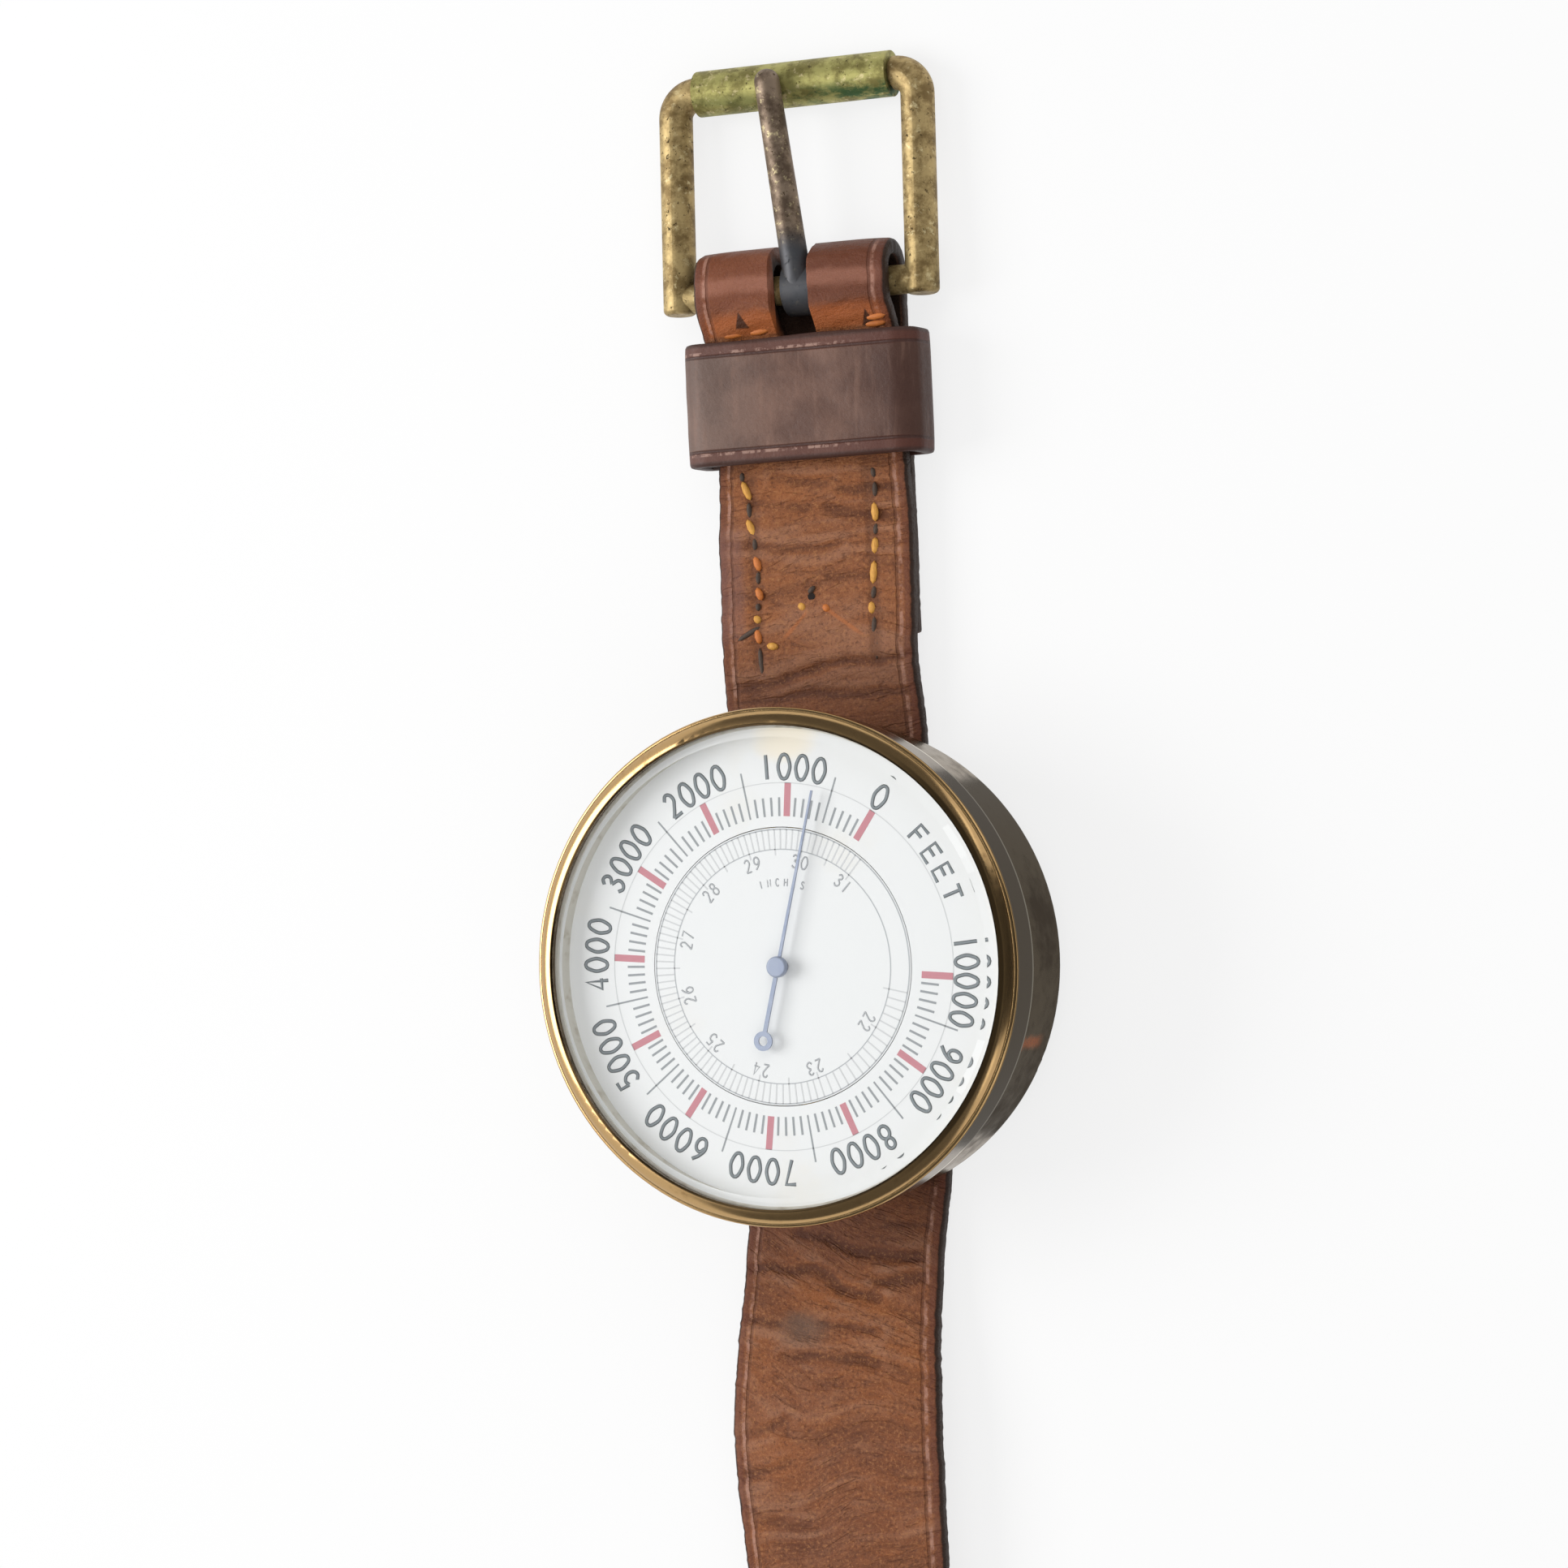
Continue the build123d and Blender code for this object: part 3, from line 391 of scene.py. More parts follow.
brass = metal("bezel_brass", (188, 155, 108), (134, 100, 62), 0.15, 0.35, 0.09, 0.2)
squared = brass.x * brass.x + brass.y * brass.y
from_axis = squared.math("SQRT", squared)
wall = brass.z.spread(WALL_TOP + 0.1, WALL_TOP - 0.1)
wall = wall * from_axis.spread(WALL_RADIUS, WALL_RADIUS + 0.3)
brass.coat(wall * 0.92, 116, 103, 84)
# A pale line on the skirt's lower edge is a painted highlight.
brass.coat(brass.z.spread(SKIRT_END, SKIRT_END - 0.15) * 0.9, 224, 214, 194)
# Painted shadow: a dark line on the lip's inner edge, in the gap against the glass.
lip_shadow = from_axis.spread(LIP_RADIUS, LIP_RADIUS - 0.15) * 0.8
# Painted dark reflection: the rim's inner band is darkened toward its right side.
rim_shade = from_axis.spread(RIM_SHADE_RADIUS, RIM_SHADE_RADIUS - 0.25)
rim_shade = rim_shade * brass.x.spread(14, 24)
brass.coat(lip_shadow.math("MAXIMUM", lip_shadow, rim_shade * 0.7), 44, 32, 18)
dress(brass, "bezel")
print("bezel nodes:", len(brass.tree.nodes))

# %% The case, with painted shade toward its foot and a rust spot that has run down its right side from under the skirt
FOOT_TOP = 2.9
RUST_Y = -10.6
RUST_HALF_WIDTH = 1.8
RUST_END = 7.5

brass = metal("case_brass", (128, 109, 78), (96, 77, 50), 0.17, 0.5, 0.06, 0.1)
ragged = brass.noise(0.5, shift=(4, 4, 4), detail=4)
rust = abs(brass.y - RUST_Y) + ragged * 1.2
rust = rust.spread(RUST_HALF_WIDTH, RUST_HALF_WIDTH - 1) * brass.x.spread(0, 1)
rust = rust * (brass.z + ragged * 3).spread(RUST_END, RUST_END + 3.5)
# Painted shade darkens the case toward its foot.
brass.coat(brass.z.spread(FOOT_TOP, FOOT_TOP - 0.7) * 0.7, 48, 42, 32)
brass.coat(rust * 0.85, 172, 88, 26)
brass.feed("Metallic", 1 - rust * 0.8)
dress(brass, "case", "strap_bridge")
print("case nodes:", len(brass.tree.nodes))

# %% The pointer's blue oxide
pointer_blue = Finish("pointer_blue", Metallic=0.3, Specular_IOR_Level=0.5)
oxide = pointer_blue.noise(0.4, detail=4)
pointer_blue.base(oxide, (164, 171, 186), (116, 130, 158))
pointer_blue.feed("Roughness", 0.3 + oxide * 0.2)
dress(pointer_blue, "pointer")
print("pointer finish:", pointer_blue.material.name)

# %% [markdown]
# ## The buckle's old brass
#
# The buckle is bare brass rod that hands have handled for decades: yellow where it rubs,
# brown in the hollows, with small black pits, and a trace of green verdigris on the roller.
# Three masks are mixed one over the other. Each is a noise cut by a narrow smooth step.

# %% Buckle finishes
def pitted(name, clean, brown, rough):
    finish = Finish(name, Metallic=0.6, Specular_IOR_Level=0.4)
    cloud = finish.noise(0.35, detail=6, rough=0.7)
    finish.base(cloud.spread(0.4, 0.62), clean, brown)
    pits = finish.noise(1.5, shift=(5, 2, 9), detail=4, rough=0.7).spread(0.6, 0.68)
    finish.coat(pits * 0.85, 62, 48, 26)
    bright = finish.noise(0.9, shift=(1, 8, 4), detail=4, rough=0.7).spread(0.56, 0.7)
    finish.coat(bright * 0.6, 232, 216, 168)
    finish.feed("Roughness", rough + pits * 0.3 + cloud * 0.2)
    finish.bump(cloud * 0.6 - pits, 0.05, 0.6)
    return finish


buckle_brass = pitted("buckle_brass", (186, 162, 112), (128, 106, 66), 0.4)
roller_brass = pitted("roller_brass", (178, 172, 106), (128, 120, 68), 0.4)
prong_steel = pitted("prong_steel", (140, 122, 104), (92, 76, 62), 0.42)

# Verdigris has settled along the roller's front, most of all near its right end
patchy = roller_brass.noise(0.3, stretch=(0.5, 1, 1), shift=(4, 0, 2), detail=5, rough=0.7)
green = patchy.spread(0.42, 0.56) * roller_brass.y.spread(110.6, 108.9)
green = green * roller_brass.x.spread(-9, 9, 0.25, 1)
roller_brass.coat(green * 0.9, 46, 92, 56)

# The prong's eye is bare dark steel where the leather has kept it from wear
prong_steel.coat(prong_steel.y.spread(93, 89) * 0.9, 74, 78, 84)
dress(buckle_brass, "buckle_frame")
dress(roller_brass, "buckle_roller")
dress(prong_steel, "buckle_prong")
print("buckle:", [f.material.name for f in (buckle_brass, roller_brass, prong_steel)])

# %% [markdown]
# ## Dial enamel and glass
#
# The dial is matt white paint with faint warm stains, and one yellow spot beside the top
# number. The glass is a real refracting solid, so its bevelled edge bends what lies below it,
# as the real one does. Light that has left the dial passes it freely, which keeps noise out.

# %% Dial and glass finishes
dial_white = Finish("dial_white", Roughness=0.55, Specular_IOR_Level=0.3)
stain = dial_white.noise(0.07, shift=(2, 3, 0), detail=4.0).spread(0.55, 0.78)
dial_white.base(stain * 0.35, (234, 236, 236), (228, 221, 204))
yellowed = dial_white.around(1.6, 27.2, 0.05, 0.16).spread(1.2, 0.0)
dial_white.coat(yellowed * 0.5, 250, 233, 196)
dial_white.bump(dial_white.noise(3.0, detail=2.0), 0.004, 0.3)

ring_white = Finish("ring_white", Roughness=0.5, Specular_IOR_Level=0.3)
dust = ring_white.noise(0.5, detail=4.0).spread(0.5, 0.8)
ring_white.base(dust, (214, 211, 200), (178, 168, 148))

clear_glass = Finish(
    "clear_glass", Roughness=0.0, IOR=1.5, Transmission_Weight=1.0, Base_Color=(1, 1, 1, 1)
)
path = clear_glass.node("ShaderNodeLightPath")
shadow = path.other("Is Shadow Ray")
scattered = path.math("GREATER_THAN", path.other("Diffuse Depth"), 0.5)
clear_glass.cover(
    path.math("MAXIMUM", shadow, scattered), clear_glass.node("ShaderNodeBsdfTransparent")
)
dress(dial_white, "inner_dial", "altitude_ring")
dress(ring_white, "spacer_ring")
dress(clear_glass, "glass")
print("dial and glass:", [f.material.name for f in (dial_white, ring_white, clear_glass)])

# %% [markdown]
# ## The strap, cut flat and then bent
#
# A strap is cut from a flat hide, punched, and only then bent round the buckle's bar. The same
# order works here. A grid is narrowed to a rounded tip, made solid, and punched with a Boolean
# while it lies flat. Then each point moves to its place along the strap's line.
# A Curve modifier could bend it too, but it turns the strap about its own line on the way.

# %% A line with round corners
STEP = 0.4


def rounded(corners):
    """Points along a line whose corners are arcs. A corner is (u, v, radius)."""
    line = [Vector(corners[0][:2])]
    for before, corner, after in zip(corners, corners[1:], corners[2:]):
        here = Vector(corner[:2])
        back = (Vector(before[:2]) - here).normalized()
        onward = (Vector(after[:2]) - here).normalized()
        half = back.angle(onward) / 2
        if corner[2] == 0 or half > math.pi / 2 - 0.001:
            line.append(here)
            continue
        centre = here + (back + onward).normalized() * corner[2] / math.sin(half)
        start = here + back * corner[2] / math.tan(half) - centre
        end = here + onward * corner[2] / math.tan(half) - centre
        turn = math.atan2(start.x * end.y - start.y * end.x, start.dot(end))
        count = max(2, round(abs(turn) * corner[2] / STEP))
        for k in range(count + 1):
            line.append(centre + Matrix.Rotation(turn * k / count, 2) @ start)
    line.append(Vector(corners[-1][:2]))
    return line


def even_steps(line):
    """The same line as points STEP apart."""
    points, left = [line[0].copy()], STEP
    for a, b in zip(line, line[1:]):
        length = (b - a).length
        run = left
        while run <= length:
            points.append(a.lerp(b, run / length))
            run += STEP
        left = run - length
    return points


def on_line(line, along, height):
    """The point at a distance along a line and a height to its left."""
    k = min(max(along / STEP, 0), len(line) - 1.001)
    i = int(k)
    before, after = line[max(i - 1, 0)], line[min(i + 2, len(line) - 1)]
    direction = ((line[i + 1] - before).normalized()).lerp((after - line[i]).normalized(), k - i)
    direction.normalize()
    return line[i].lerp(line[i + 1], k - i) + Vector((-direction.y, direction.x)) * height


# %% The strap's line, seen from the side
STRAP_SHIFT = -0.8
STRAP_WIDTH = 25.4
LEATHER = 2.2

# Corners as (y, z, bend radius), from the tip over the bar and back underneath
strap_corners = [
    (-165, 1.1, 0), (-134, 1.1, 60), (-98, 6.3, 60), (-58, 6.3, 60), (-33.4, 2.2, 16),
    (27.8, 2.2, 16), (38.9, 3.4, 16), (56.3, 3.4, 16), (62.35, 4.2, 8), (78.5, 4.2, 2.9),
    (82.95, 7.4, 2.9), (89.2, 7.4, 3.05), (89.2, 1.1, 3.05), (40.6, 1.1, 0),
]
strap_line = even_steps(rounded(strap_corners))
strap_length = STEP * (len(strap_line) - 1)


def along_at(y):
    """Distance along the strap's upper run at which it passes y."""
    return STEP * next(i for i, p in enumerate(strap_line) if p.x >= y)


def along_below(y):
    """Distance along the strap at which its folded lower run passes y on its way back."""
    return strap_length - STEP * next(i for i, p in enumerate(reversed(strap_line)) if p.x >= y)


def strap_top(y):
    """Height of the strap's upper face at y."""
    return on_line(strap_line, along_at(y), LEATHER / 2).y


print("strap, unrolled:", round(strap_length, 1), "mm in", len(strap_line), "points")


# %% Flat leather
def flat_leather(width, length, thickness, columns, rows, edge_round, share=None):
    """A flat strip along Y with rounded edges, in mm. share narrows it along its length."""
    bm = bmesh.new()
    bmesh.ops.create_grid(bm, x_segments=columns, y_segments=rows, size=0.5)
    for vert in bm.verts:
        along = (vert.co.y + 0.5) * length
        narrow = share(along) if share else 1.0
        vert.co = Vector((vert.co.x * width * narrow, along, thickness / 2))
    below = bmesh.ops.extrude_face_region(bm, geom=bm.faces[:])["geom"]
    bmesh.ops.translate(
        bm, vec=(0, 0, -thickness), verts=[v for v in below if isinstance(v, bmesh.types.BMVert)]
    )
    bmesh.ops.recalc_face_normals(bm, faces=bm.faces[:])
    sharp = [e for e in bm.edges if e.calc_face_angle(0) > 1.0]
    bmesh.ops.bevel(
        bm, geom=sharp, offset=edge_round, segments=2, profile=0.5, affect="EDGES", material=-1
    )
    return bm


TIP_LENGTH = 15.0
TIP_WIDTH = 1.6
TIP_FULLNESS = 0.62
HIDE_COLUMNS = 46
HIDE_ROW = 0.45
HIDE_EDGE = 0.45


def tip_share(along):
    """Share of the full width, near the rounded tip."""
    reach = min(along / TIP_LENGTH, 1.0)
    return TIP_WIDTH / STRAP_WIDTH + (1 - TIP_WIDTH / STRAP_WIDTH) * math.sin(
        reach ** TIP_FULLNESS * math.pi / 2
    )


leather = Finish("strap_leather", Specular_IOR_Level=0.32)
hide = flat_leather(
    STRAP_WIDTH, strap_length, LEATHER, HIDE_COLUMNS, round(strap_length / HIDE_ROW), HIDE_EDGE,
    tip_share,
)
print("hide faces:", len(hide.faces))

# %% Punching the holes and the prong's slot
HOLE_RADIUS = 1.6
HOLES = [-92.0 - 10.0 * n for n in range(6)]
SLOT_WIDTH = 5.4
SLOT_START = 77.2
SLOT_END = 82.2


def add_punch(bm, along, radius, segments):
    """A round punch through the flat strap. Gives its points."""
    return bmesh.ops.create_cone(
        bm, cap_ends=True, segments=segments, radius1=radius, radius2=radius,
        depth=4 * LEATHER, matrix=Matrix.Translation((0, along, 0)),
    )["verts"]


def punched(solid, tools):
    """The solid less the tools, by a Boolean that is applied at once."""
    modifier = solid.modifiers.new("punch", "BOOLEAN")
    modifier.operation = "DIFFERENCE"
    modifier.solver = "EXACT"
    modifier.object = tools
    graph = bpy.context.evaluated_depsgraph_get()
    mesh = bpy.data.meshes.new_from_object(solid.evaluated_get(graph))
    solid.modifiers.clear()
    solid.data = mesh
    bpy.data.objects.remove(tools)
    return solid


punch = bmesh.new()
for y in HOLES:
    add_punch(punch, along_at(y), HOLE_RADIUS, 32)
slot_from, slot_to = along_at(SLOT_START), along_below(SLOT_END)
slot_middle = (slot_from + slot_to) / 2
half_run = (slot_to - slot_from - SLOT_WIDTH) / 2
for vert in add_punch(punch, slot_middle, SLOT_WIDTH / 2, 48):
    vert.co.y += half_run if vert.co.y > slot_middle else -half_run

strap = new_piece("strap_hide", hide, leather)
strap = punched(strap, new_piece("tools", punch, leather, smooth=False))
print("punched faces:", len(strap.data.polygons))

# %% [markdown]
# ### Creases
#
# Worn leather creases across its length, most of all where it leaves the case. The creases are
# real relief here, a few tenths of a millimetre, because paint alone would look flat in low
# light. The deepest folds run through given places, and a noise that is stretched across the
# strap makes the small ones between them. All of it is added before the hide is bent. Where
# two layers lie on each other only the outer face moves, so that they never meet.

# %% Creases
CREASE_START = 33.0
FOLD_HALF_WIDTH = 0.55
FOLD_DEPTH = 0.3
RIDGE_HEIGHT = 0.13


def bell(value, middle, width):
    """1 at the middle, and falling to nothing on both sides of it."""
    return math.exp(-(((value - middle) / width) ** 2))


def flow(x, y):
    """A stand-in for y that bends with the wrinkles: they run where it stays the same."""
    slope = -0.06
    if y < 0:
        slope = 0.5 - 0.85 * min(max((-y - 36) / 44, 0.0), 1.0)
    return y + slope * x + 2.2 * noise.noise((x * 0.1, y * 0.07, 3.1))


# The real strap's deepest folds: how deep, then the places they run through
folds = [
    (1, (-12.9, -38.5), (-9.6, -38.5), (-7, -38.9), (-4, -38.4), (-2.2, -39.6), (-0.1, -41.4),
     (4.6, -42.1)),
    (1.4, (-6.4, -34), (-1.7, -35.2), (1.6, -36.6), (4.9, -37), (7.8, -37.4), (10.3, -37.1)),
    (1.1, (5.4, -33.3), (8, -33), (11.6, -33.2)), (0.9, (4.7, -40.4), (10.6, -39.9)),
    (0.8, (-14, -44.5), (-11.4, -45), (-8.8, -45.5)), (0.7, (-2.5, -45.4), (4.8, -46.5)),
    (0.8, (-7.9, -49.5), (-3.4, -49.3), (0.2, -49.8), (4.6, -50.5)),
    (0.5, (-14.7, -59.6), (-11.3, -58.7), (-7.5, -57.3)), (0.5, (-15, -64.9), (-7, -62.4)),
    (0.4, (-14, -67.9), (-10, -70), (-5.2, -70.3)),
    (1, (-11.1, 34.8), (-6.9, 35.3), (-2.7, 36.4), (0.7, 37.2), (4.3, 37.8), (9.2, 37.5),
     (12.6, 38.5)), (1.3, (-11.2, 32.9), (-5.6, 33.2), (-0.6, 34), (2.7, 33.5), (12.4, 33.3)),
    (0.7, (-11.3, 53.3), (-7.4, 52.8), (0.3, 51.9), (3.6, 52.3)), (0.4, (-7.7, 58.4), (-0.3, 57.4)),
    (0.7, (2.7, 56.9), (6, 56.1), (12.1, 55.2)), (0.5, (-4.2, 61.3), (-1, 60.6), (2.9, 60.3)),
    (0.7, (4.5, 59.4), (6.7, 59.1), (9.2, 59.6), (12.3, 59)), (0.5, (2.3, 48.6), (7.8, 48.2)),
]


def from_fold(x, y, places):
    """Distance to a fold's line."""
    here, nearest = Vector((x, y)), 9.0
    if min(p[1] for p in places) - 4 < y < max(p[1] for p in places) + 4:
        for start, end in zip(places, places[1:]):
            a, b = Vector(start), Vector(end)
            share = min(max((here - a).dot(b - a) / (b - a).length_squared, 0.0), 1.0)
            nearest = min(nearest, (here - a.lerp(b, share)).length)
    return nearest


def crease(x, y, run):
    """Height of the wrinkles in mm, and how deep in a fold the point is, 0 to 1."""
    near = bell(abs(run), 40, 10)
    swell = noise.noise((x * 0.05, run * 0.22, 7.7))
    ripple = noise.noise((x * 0.07, run * 0.7, 0.4))
    fine = noise.noise((x * 0.25, run * 1.7, 2.2))
    worn = 0.5 + 0.5 * bell(min(y, -72), -72, 20)
    height = worn * ((0.1 + 0.15 * near) * swell + 0.22 * ripple + 0.1 * fine)
    fold = 0.0
    for depth, *places in folds:
        away = from_fold(x, y + 0.5 * fine, places)
        fold = max(fold, depth * bell(away, 0, FOLD_HALF_WIDTH))
        height += RIDGE_HEIGHT * depth * bell(away, 1.3, 0.6)
    return height - FOLD_DEPTH * fold, min(fold, 1.0)


print("deep folds:", len(folds))

# %% Edges, then the bend
KEEPER_EDGE = 64
EDGE_DROP = 0.2
fold_along = along_at(89.0)
free_along = along_at(-CREASE_START)


def edge_wobble(side, along, y):
    """How far an edge strays outward: stretched on the left below the case, and uneven."""
    stretched = 0.3
    if side < 0 and y < 0:
        stretched += 1.9 * bell(y, -58, 19)
    elif y < 0:
        stretched += 1.2 * bell(y, -25, 7) - 0.4 * bell(y, -47, 9)
    elif side < 0:
        under_keeper = bell(max(y, KEEPER_EDGE), KEEPER_EDGE, 4)
        stretched -= under_keeper * 0.9 * bell(min(y, KEEPER_EDGE), KEEPER_EDGE, 10)
    elif along <= fold_along:
        under_keeper = bell(max(y, KEEPER_EDGE), KEEPER_EDGE, 4)
        stretched += under_keeper * (0.5 - 0.4 * bell(y, 38, 5))
    uneven = 0.12 * noise.noise((9.0 * side, along * 0.12, 1.0))
    frayed = 0.12 * noise.noise((9.0 * side, along * 1.3, 5.0))
    return stretched + uneven + frayed


written = {name: [] for name in ("flesh", "height", "fold", "run", "rim")}
for vert in strap.data.vertices:
    x, along, height = vert.co
    y = on_line(strap_line, along, 0).x
    outer = height > 0
    share = tip_share(along)
    half_width = share * STRAP_WIDTH / 2
    edge = min(abs(x) / half_width, 1.0) ** 6
    written["flesh"].append(0.0 if outer or abs(x) > half_width - 0.2 else 1.0)
    side = math.copysign(1.0, x)
    stray = share * edge_wobble(side, along, y)
    x += side * edge * stray
    written["rim"].append(half_width + stray - abs(x))
    run = flow(x, y)
    written["run"].append(run)
    lift, fold = 0.0, 0.0
    if along < free_along or (outer and y > CREASE_START and along < fold_along):
        lift, fold = crease(x, y, run)
        lift *= min(1.0, (abs(y) - CREASE_START) / 3)
    written["height"].append(lift)
    written["fold"].append(fold)
    height += lift - (EDGE_DROP * edge if outer else 0.0)
    y, z = on_line(strap_line, along, height)
    vert.co = Vector((x + STRAP_SHIFT, y, z)) * MM
for name, values in written.items():
    attribute = strap.data.attributes.new(name, "FLOAT", "POINT")
    attribute.data.foreach_set("value", values)
strap.data.shade_smooth()
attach(strap, "case_body")
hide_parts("strap")
print("strap faces:", len(strap.data.polygons))

# %% [markdown]
# ### The leather's finish
#
# The colour is laid on in layers: the dye in soft patches under a painted sheen, painted shade
# in the creases and painted highlights on their ridges, painted shade beside the case, marks,
# a painted highlight across the fold, and wear, wax and a painted sheen line along each edge.
# The underside is undyed flesh side, paler and rougher, with painted shade inside the fold.
# Attributes written on the mesh tell the shader what it can't work out by itself: which side a
# point is on, how far from the edge it is, how high and how deep in a fold. An image could hold
# the colours, but it blurs from near.

# %% Dye, grain and wrinkles, with painted sheen, shade and highlights
x, y, z = leather.x, leather.y, leather.z
coat = leather.coat
run = leather.attribute("run")
flowing = leather.node("ShaderNodeCombineXYZ", {}, [x - STRAP_SHIFT, run, z])
dye = leather.noise(0.05, stretch=(1, 1.6, 1), detail=5, rough=0.6, at=flowing)
mottle = leather.noise(0.45, stretch=(0.5, 1, 1), detail=5, rough=0.7, at=flowing)
lines = leather.noise(
    1.3, stretch=(0.4, 1, 0.5), shift=(0, 5, 0), detail=6, rough=0.75, at=flowing
)
grain = leather.noise(2.3, detail=3, rough=0.8)
course = leather.noise(0.5, stretch=(0.22, 1, 0.3), shift=(0, 3, 1), detail=3, at=flowing)
worn = y.spread(-100, -72) * 0.6 + 0.4
wrinkle = abs(course - 0.5).spread(0.05, 0) * mottle.spread(0.4, 0.56)
wrinkle = wrinkle * y.spread(80, 76) * worn
height = leather.attribute("height")

leather.base(dye.spread(0.3, 0.7), (118, 68, 42), (152, 88, 44))
# Soft patches of pinkish painted sheen.
coat(mottle.spread(0.42, 0.7) * 0.5, 146, 100, 74)
coat(y.spread(20, 40) * 0.25, 178, 112, 66)
# Painted shade darkens the low lines and the wrinkles' dips, and painted highlights lighten the
# high lines.
coat(lines.spread(0.5, 0.34) * worn * 0.3, 92, 50, 28)
coat(wrinkle * 0.4, 92, 48, 28)
coat(lines.spread(0.54, 0.68) * worn * 0.3, 170, 118, 80)
# Painted shade in the written hollows and painted highlights on the ridges.
coat(height.spread(0, -0.2) * 0.4, 92, 50, 28)
coat(height.spread(0.03, 0.2) * 0.4, 176, 128, 100)
# Painted shade along the deepest folds.
coat(leather.attribute("fold") * 0.62, 76, 38, 22)
coat(grain.spread(0.53, 0.66) * 0.5, 184, 126, 78)
coat(grain.spread(0.47, 0.35) * 0.55, 82, 44, 26)
print("strap material nodes:", len(leather.tree.nodes))

# %% Painted shade beside the case, a dirt spot and marks
CASE_SHADOW_END = 44
DIRT_SPOT = (-6.3, -46)
UPPER_SIDE = 2.3
SCRATCH_END = 40.5

# Two scratches run down from the stray stitch hole: where from, how steep and to which side
SCRATCHES = ((-1.5, 44.2, 0.95, -1), (0.2, 44.9, -0.74, 1))

# Painted shade where the strap leaves the case.
coat(abs(y).spread(CASE_SHADOW_END, CREASE_START) * 0.4, 80, 46, 34)
from_spot = leather.around(*DIRT_SPOT, 0.05, 0.12)
coat((from_spot + mottle * 1.4).spread(1.8, 0.6) * 0.5, 104, 92, 82)

# Height keeps the scratches, the cuts and the thread's groove off the underside
upper_side = z.spread(UPPER_SIDE, UPPER_SIDE + 1)
for start_x, start_y, slope, side in SCRATCHES:
    off_line = abs((x - start_x) * slope - y + start_y)
    scratch = (off_line + mottle * 0.5).spread(0.75, 0.35)
    scratch = scratch * ((x - start_x) * side).spread(0, 0.5)
    scratch = scratch * y.spread(SCRATCH_END, SCRATCH_END + 1)
    coat(scratch * upper_side * 0.5, 190, 108, 54)
print("scratches:", len(SCRATCHES))

# %% The fold: worn smooth and dark by the buckle, a painted highlight across its bend, dry and orange beside the keeper
BEND_START = 79
BEND_END = 83.5
BEND_HIGHLIGHT_Y = 86.2
CUTS = ((-7.8, 81), (9.1, 80.1))

folded = y.spread(BEND_START, BEND_END)
coat(folded * 0.8, 116, 60, 36)
coat(folded * x.spread(-1, 3) * 0.5, 86, 42, 24)
# A painted highlight band across the bend.
bend_highlight = abs(y - BEND_HIGHLIGHT_Y + mottle * 1.5).spread(1.6, 0.4)
coat(folded * bend_highlight * 0.4, 184, 126, 104)
dry = y.spread(BEND_START, BEND_START + 0.6)
dry = dry * (y + mottle * 3).spread(84.2, 82.4)
coat(dry * 0.6, 186, 100, 48)
for cut_x, cut_y in CUTS:
    slit = (abs(x - cut_x) * 1.7 + (y - cut_y) * 0.8).spread(1.1, 0.7)
    slit = slit * y.spread(cut_y - 1, cut_y - 0.7)
    coat(slit * upper_side * 0.85, 44, 24, 14)
print("cuts:", len(CUTS))

# %% Along each edge: dark wax, a painted sheen line that comes and goes, and the tooled line beside it
HANDLED_EDGE = -9.6
HANDLED_Y = 48

rim = leather.attribute("rim")
coat(rim.spread(1.4, 0.9) * 0.6, 104, 56, 40)
broken = leather.noise(0.5, shift=(3, 1, 2), detail=5, rough=0.7)
# A painted sheen line along each edge, broken by noise.
edge_sheen = rim.band(1.2, 1.45, 1.65, 1.9) * broken.spread(0.4, 0.62)
coat(edge_sheen * 0.65, 190, 144, 126)
handled = x.spread(HANDLED_EDGE, HANDLED_EDGE - 1.4)
handled = handled * abs(y - HANDLED_Y).spread(9, 5)
coat(handled * 0.4, 132, 96, 90)
tooled = rim.band(1.75, 1.9, 2.1, 2.3)
coat(tooled * 0.4, 84, 46, 32)
coat((rim + mottle * 0.5).spread(0.7, 0.45) * 0.9, 40, 28, 20)
print("strap material nodes:", len(leather.tree.nodes))

# %% The thread's groove, darkened as painted shade, and the underside
SEWN_MIDDLE = -0.4
SEWN_OUT = 8

sewn = abs(abs(x - SEWN_MIDDLE) - SEWN_OUT).spread(1.2, 0.3)
sewn = sewn * y.band(36, 38, 61, 63) * upper_side
# Painted shade in the thread's groove.
coat(sewn * 0.4, 84, 50, 34)
flesh_side = leather.attribute("flesh")
coat(flesh_side * 0.7, 120, 84, 62)
# Painted shade on the underside inside the fold.
coat(flesh_side * y.spread(70, 74) * 0.9, 36, 26, 20)
leather.feed("Roughness", 0.42 + mottle * 0.3 + flesh_side * 0.3 - folded * 0.12)
relief = lines * 0.7 + grain * 0.4 + mottle * 0.6 - tooled * 0.4 - sewn * 0.4 - wrinkle * 0.3
leather.bump(relief, 0.4, 0.9)
print("strap material nodes:", len(leather.tree.nodes))

# %% [markdown]
# ## The keeper
#
# The keeper is a loop of harder leather with a tooled line near each edge. It is cut flat as
# the strap was and bent along its own line. Its two ends are pared thin, because they lie
# between the strap's layers.

# %% Keeper
KEEPER_END = 78.5
KEEPER_LENGTH = 15.6
KEEPER_MIDDLE = KEEPER_END - KEEPER_LENGTH / 2
KEEPER_SHIFT = 0.1
KEEPER_LEATHER = 1.7
PARED_RUN = 5.5
PARED_SHARE = 0.44
KEEPER_DROP = 0.12

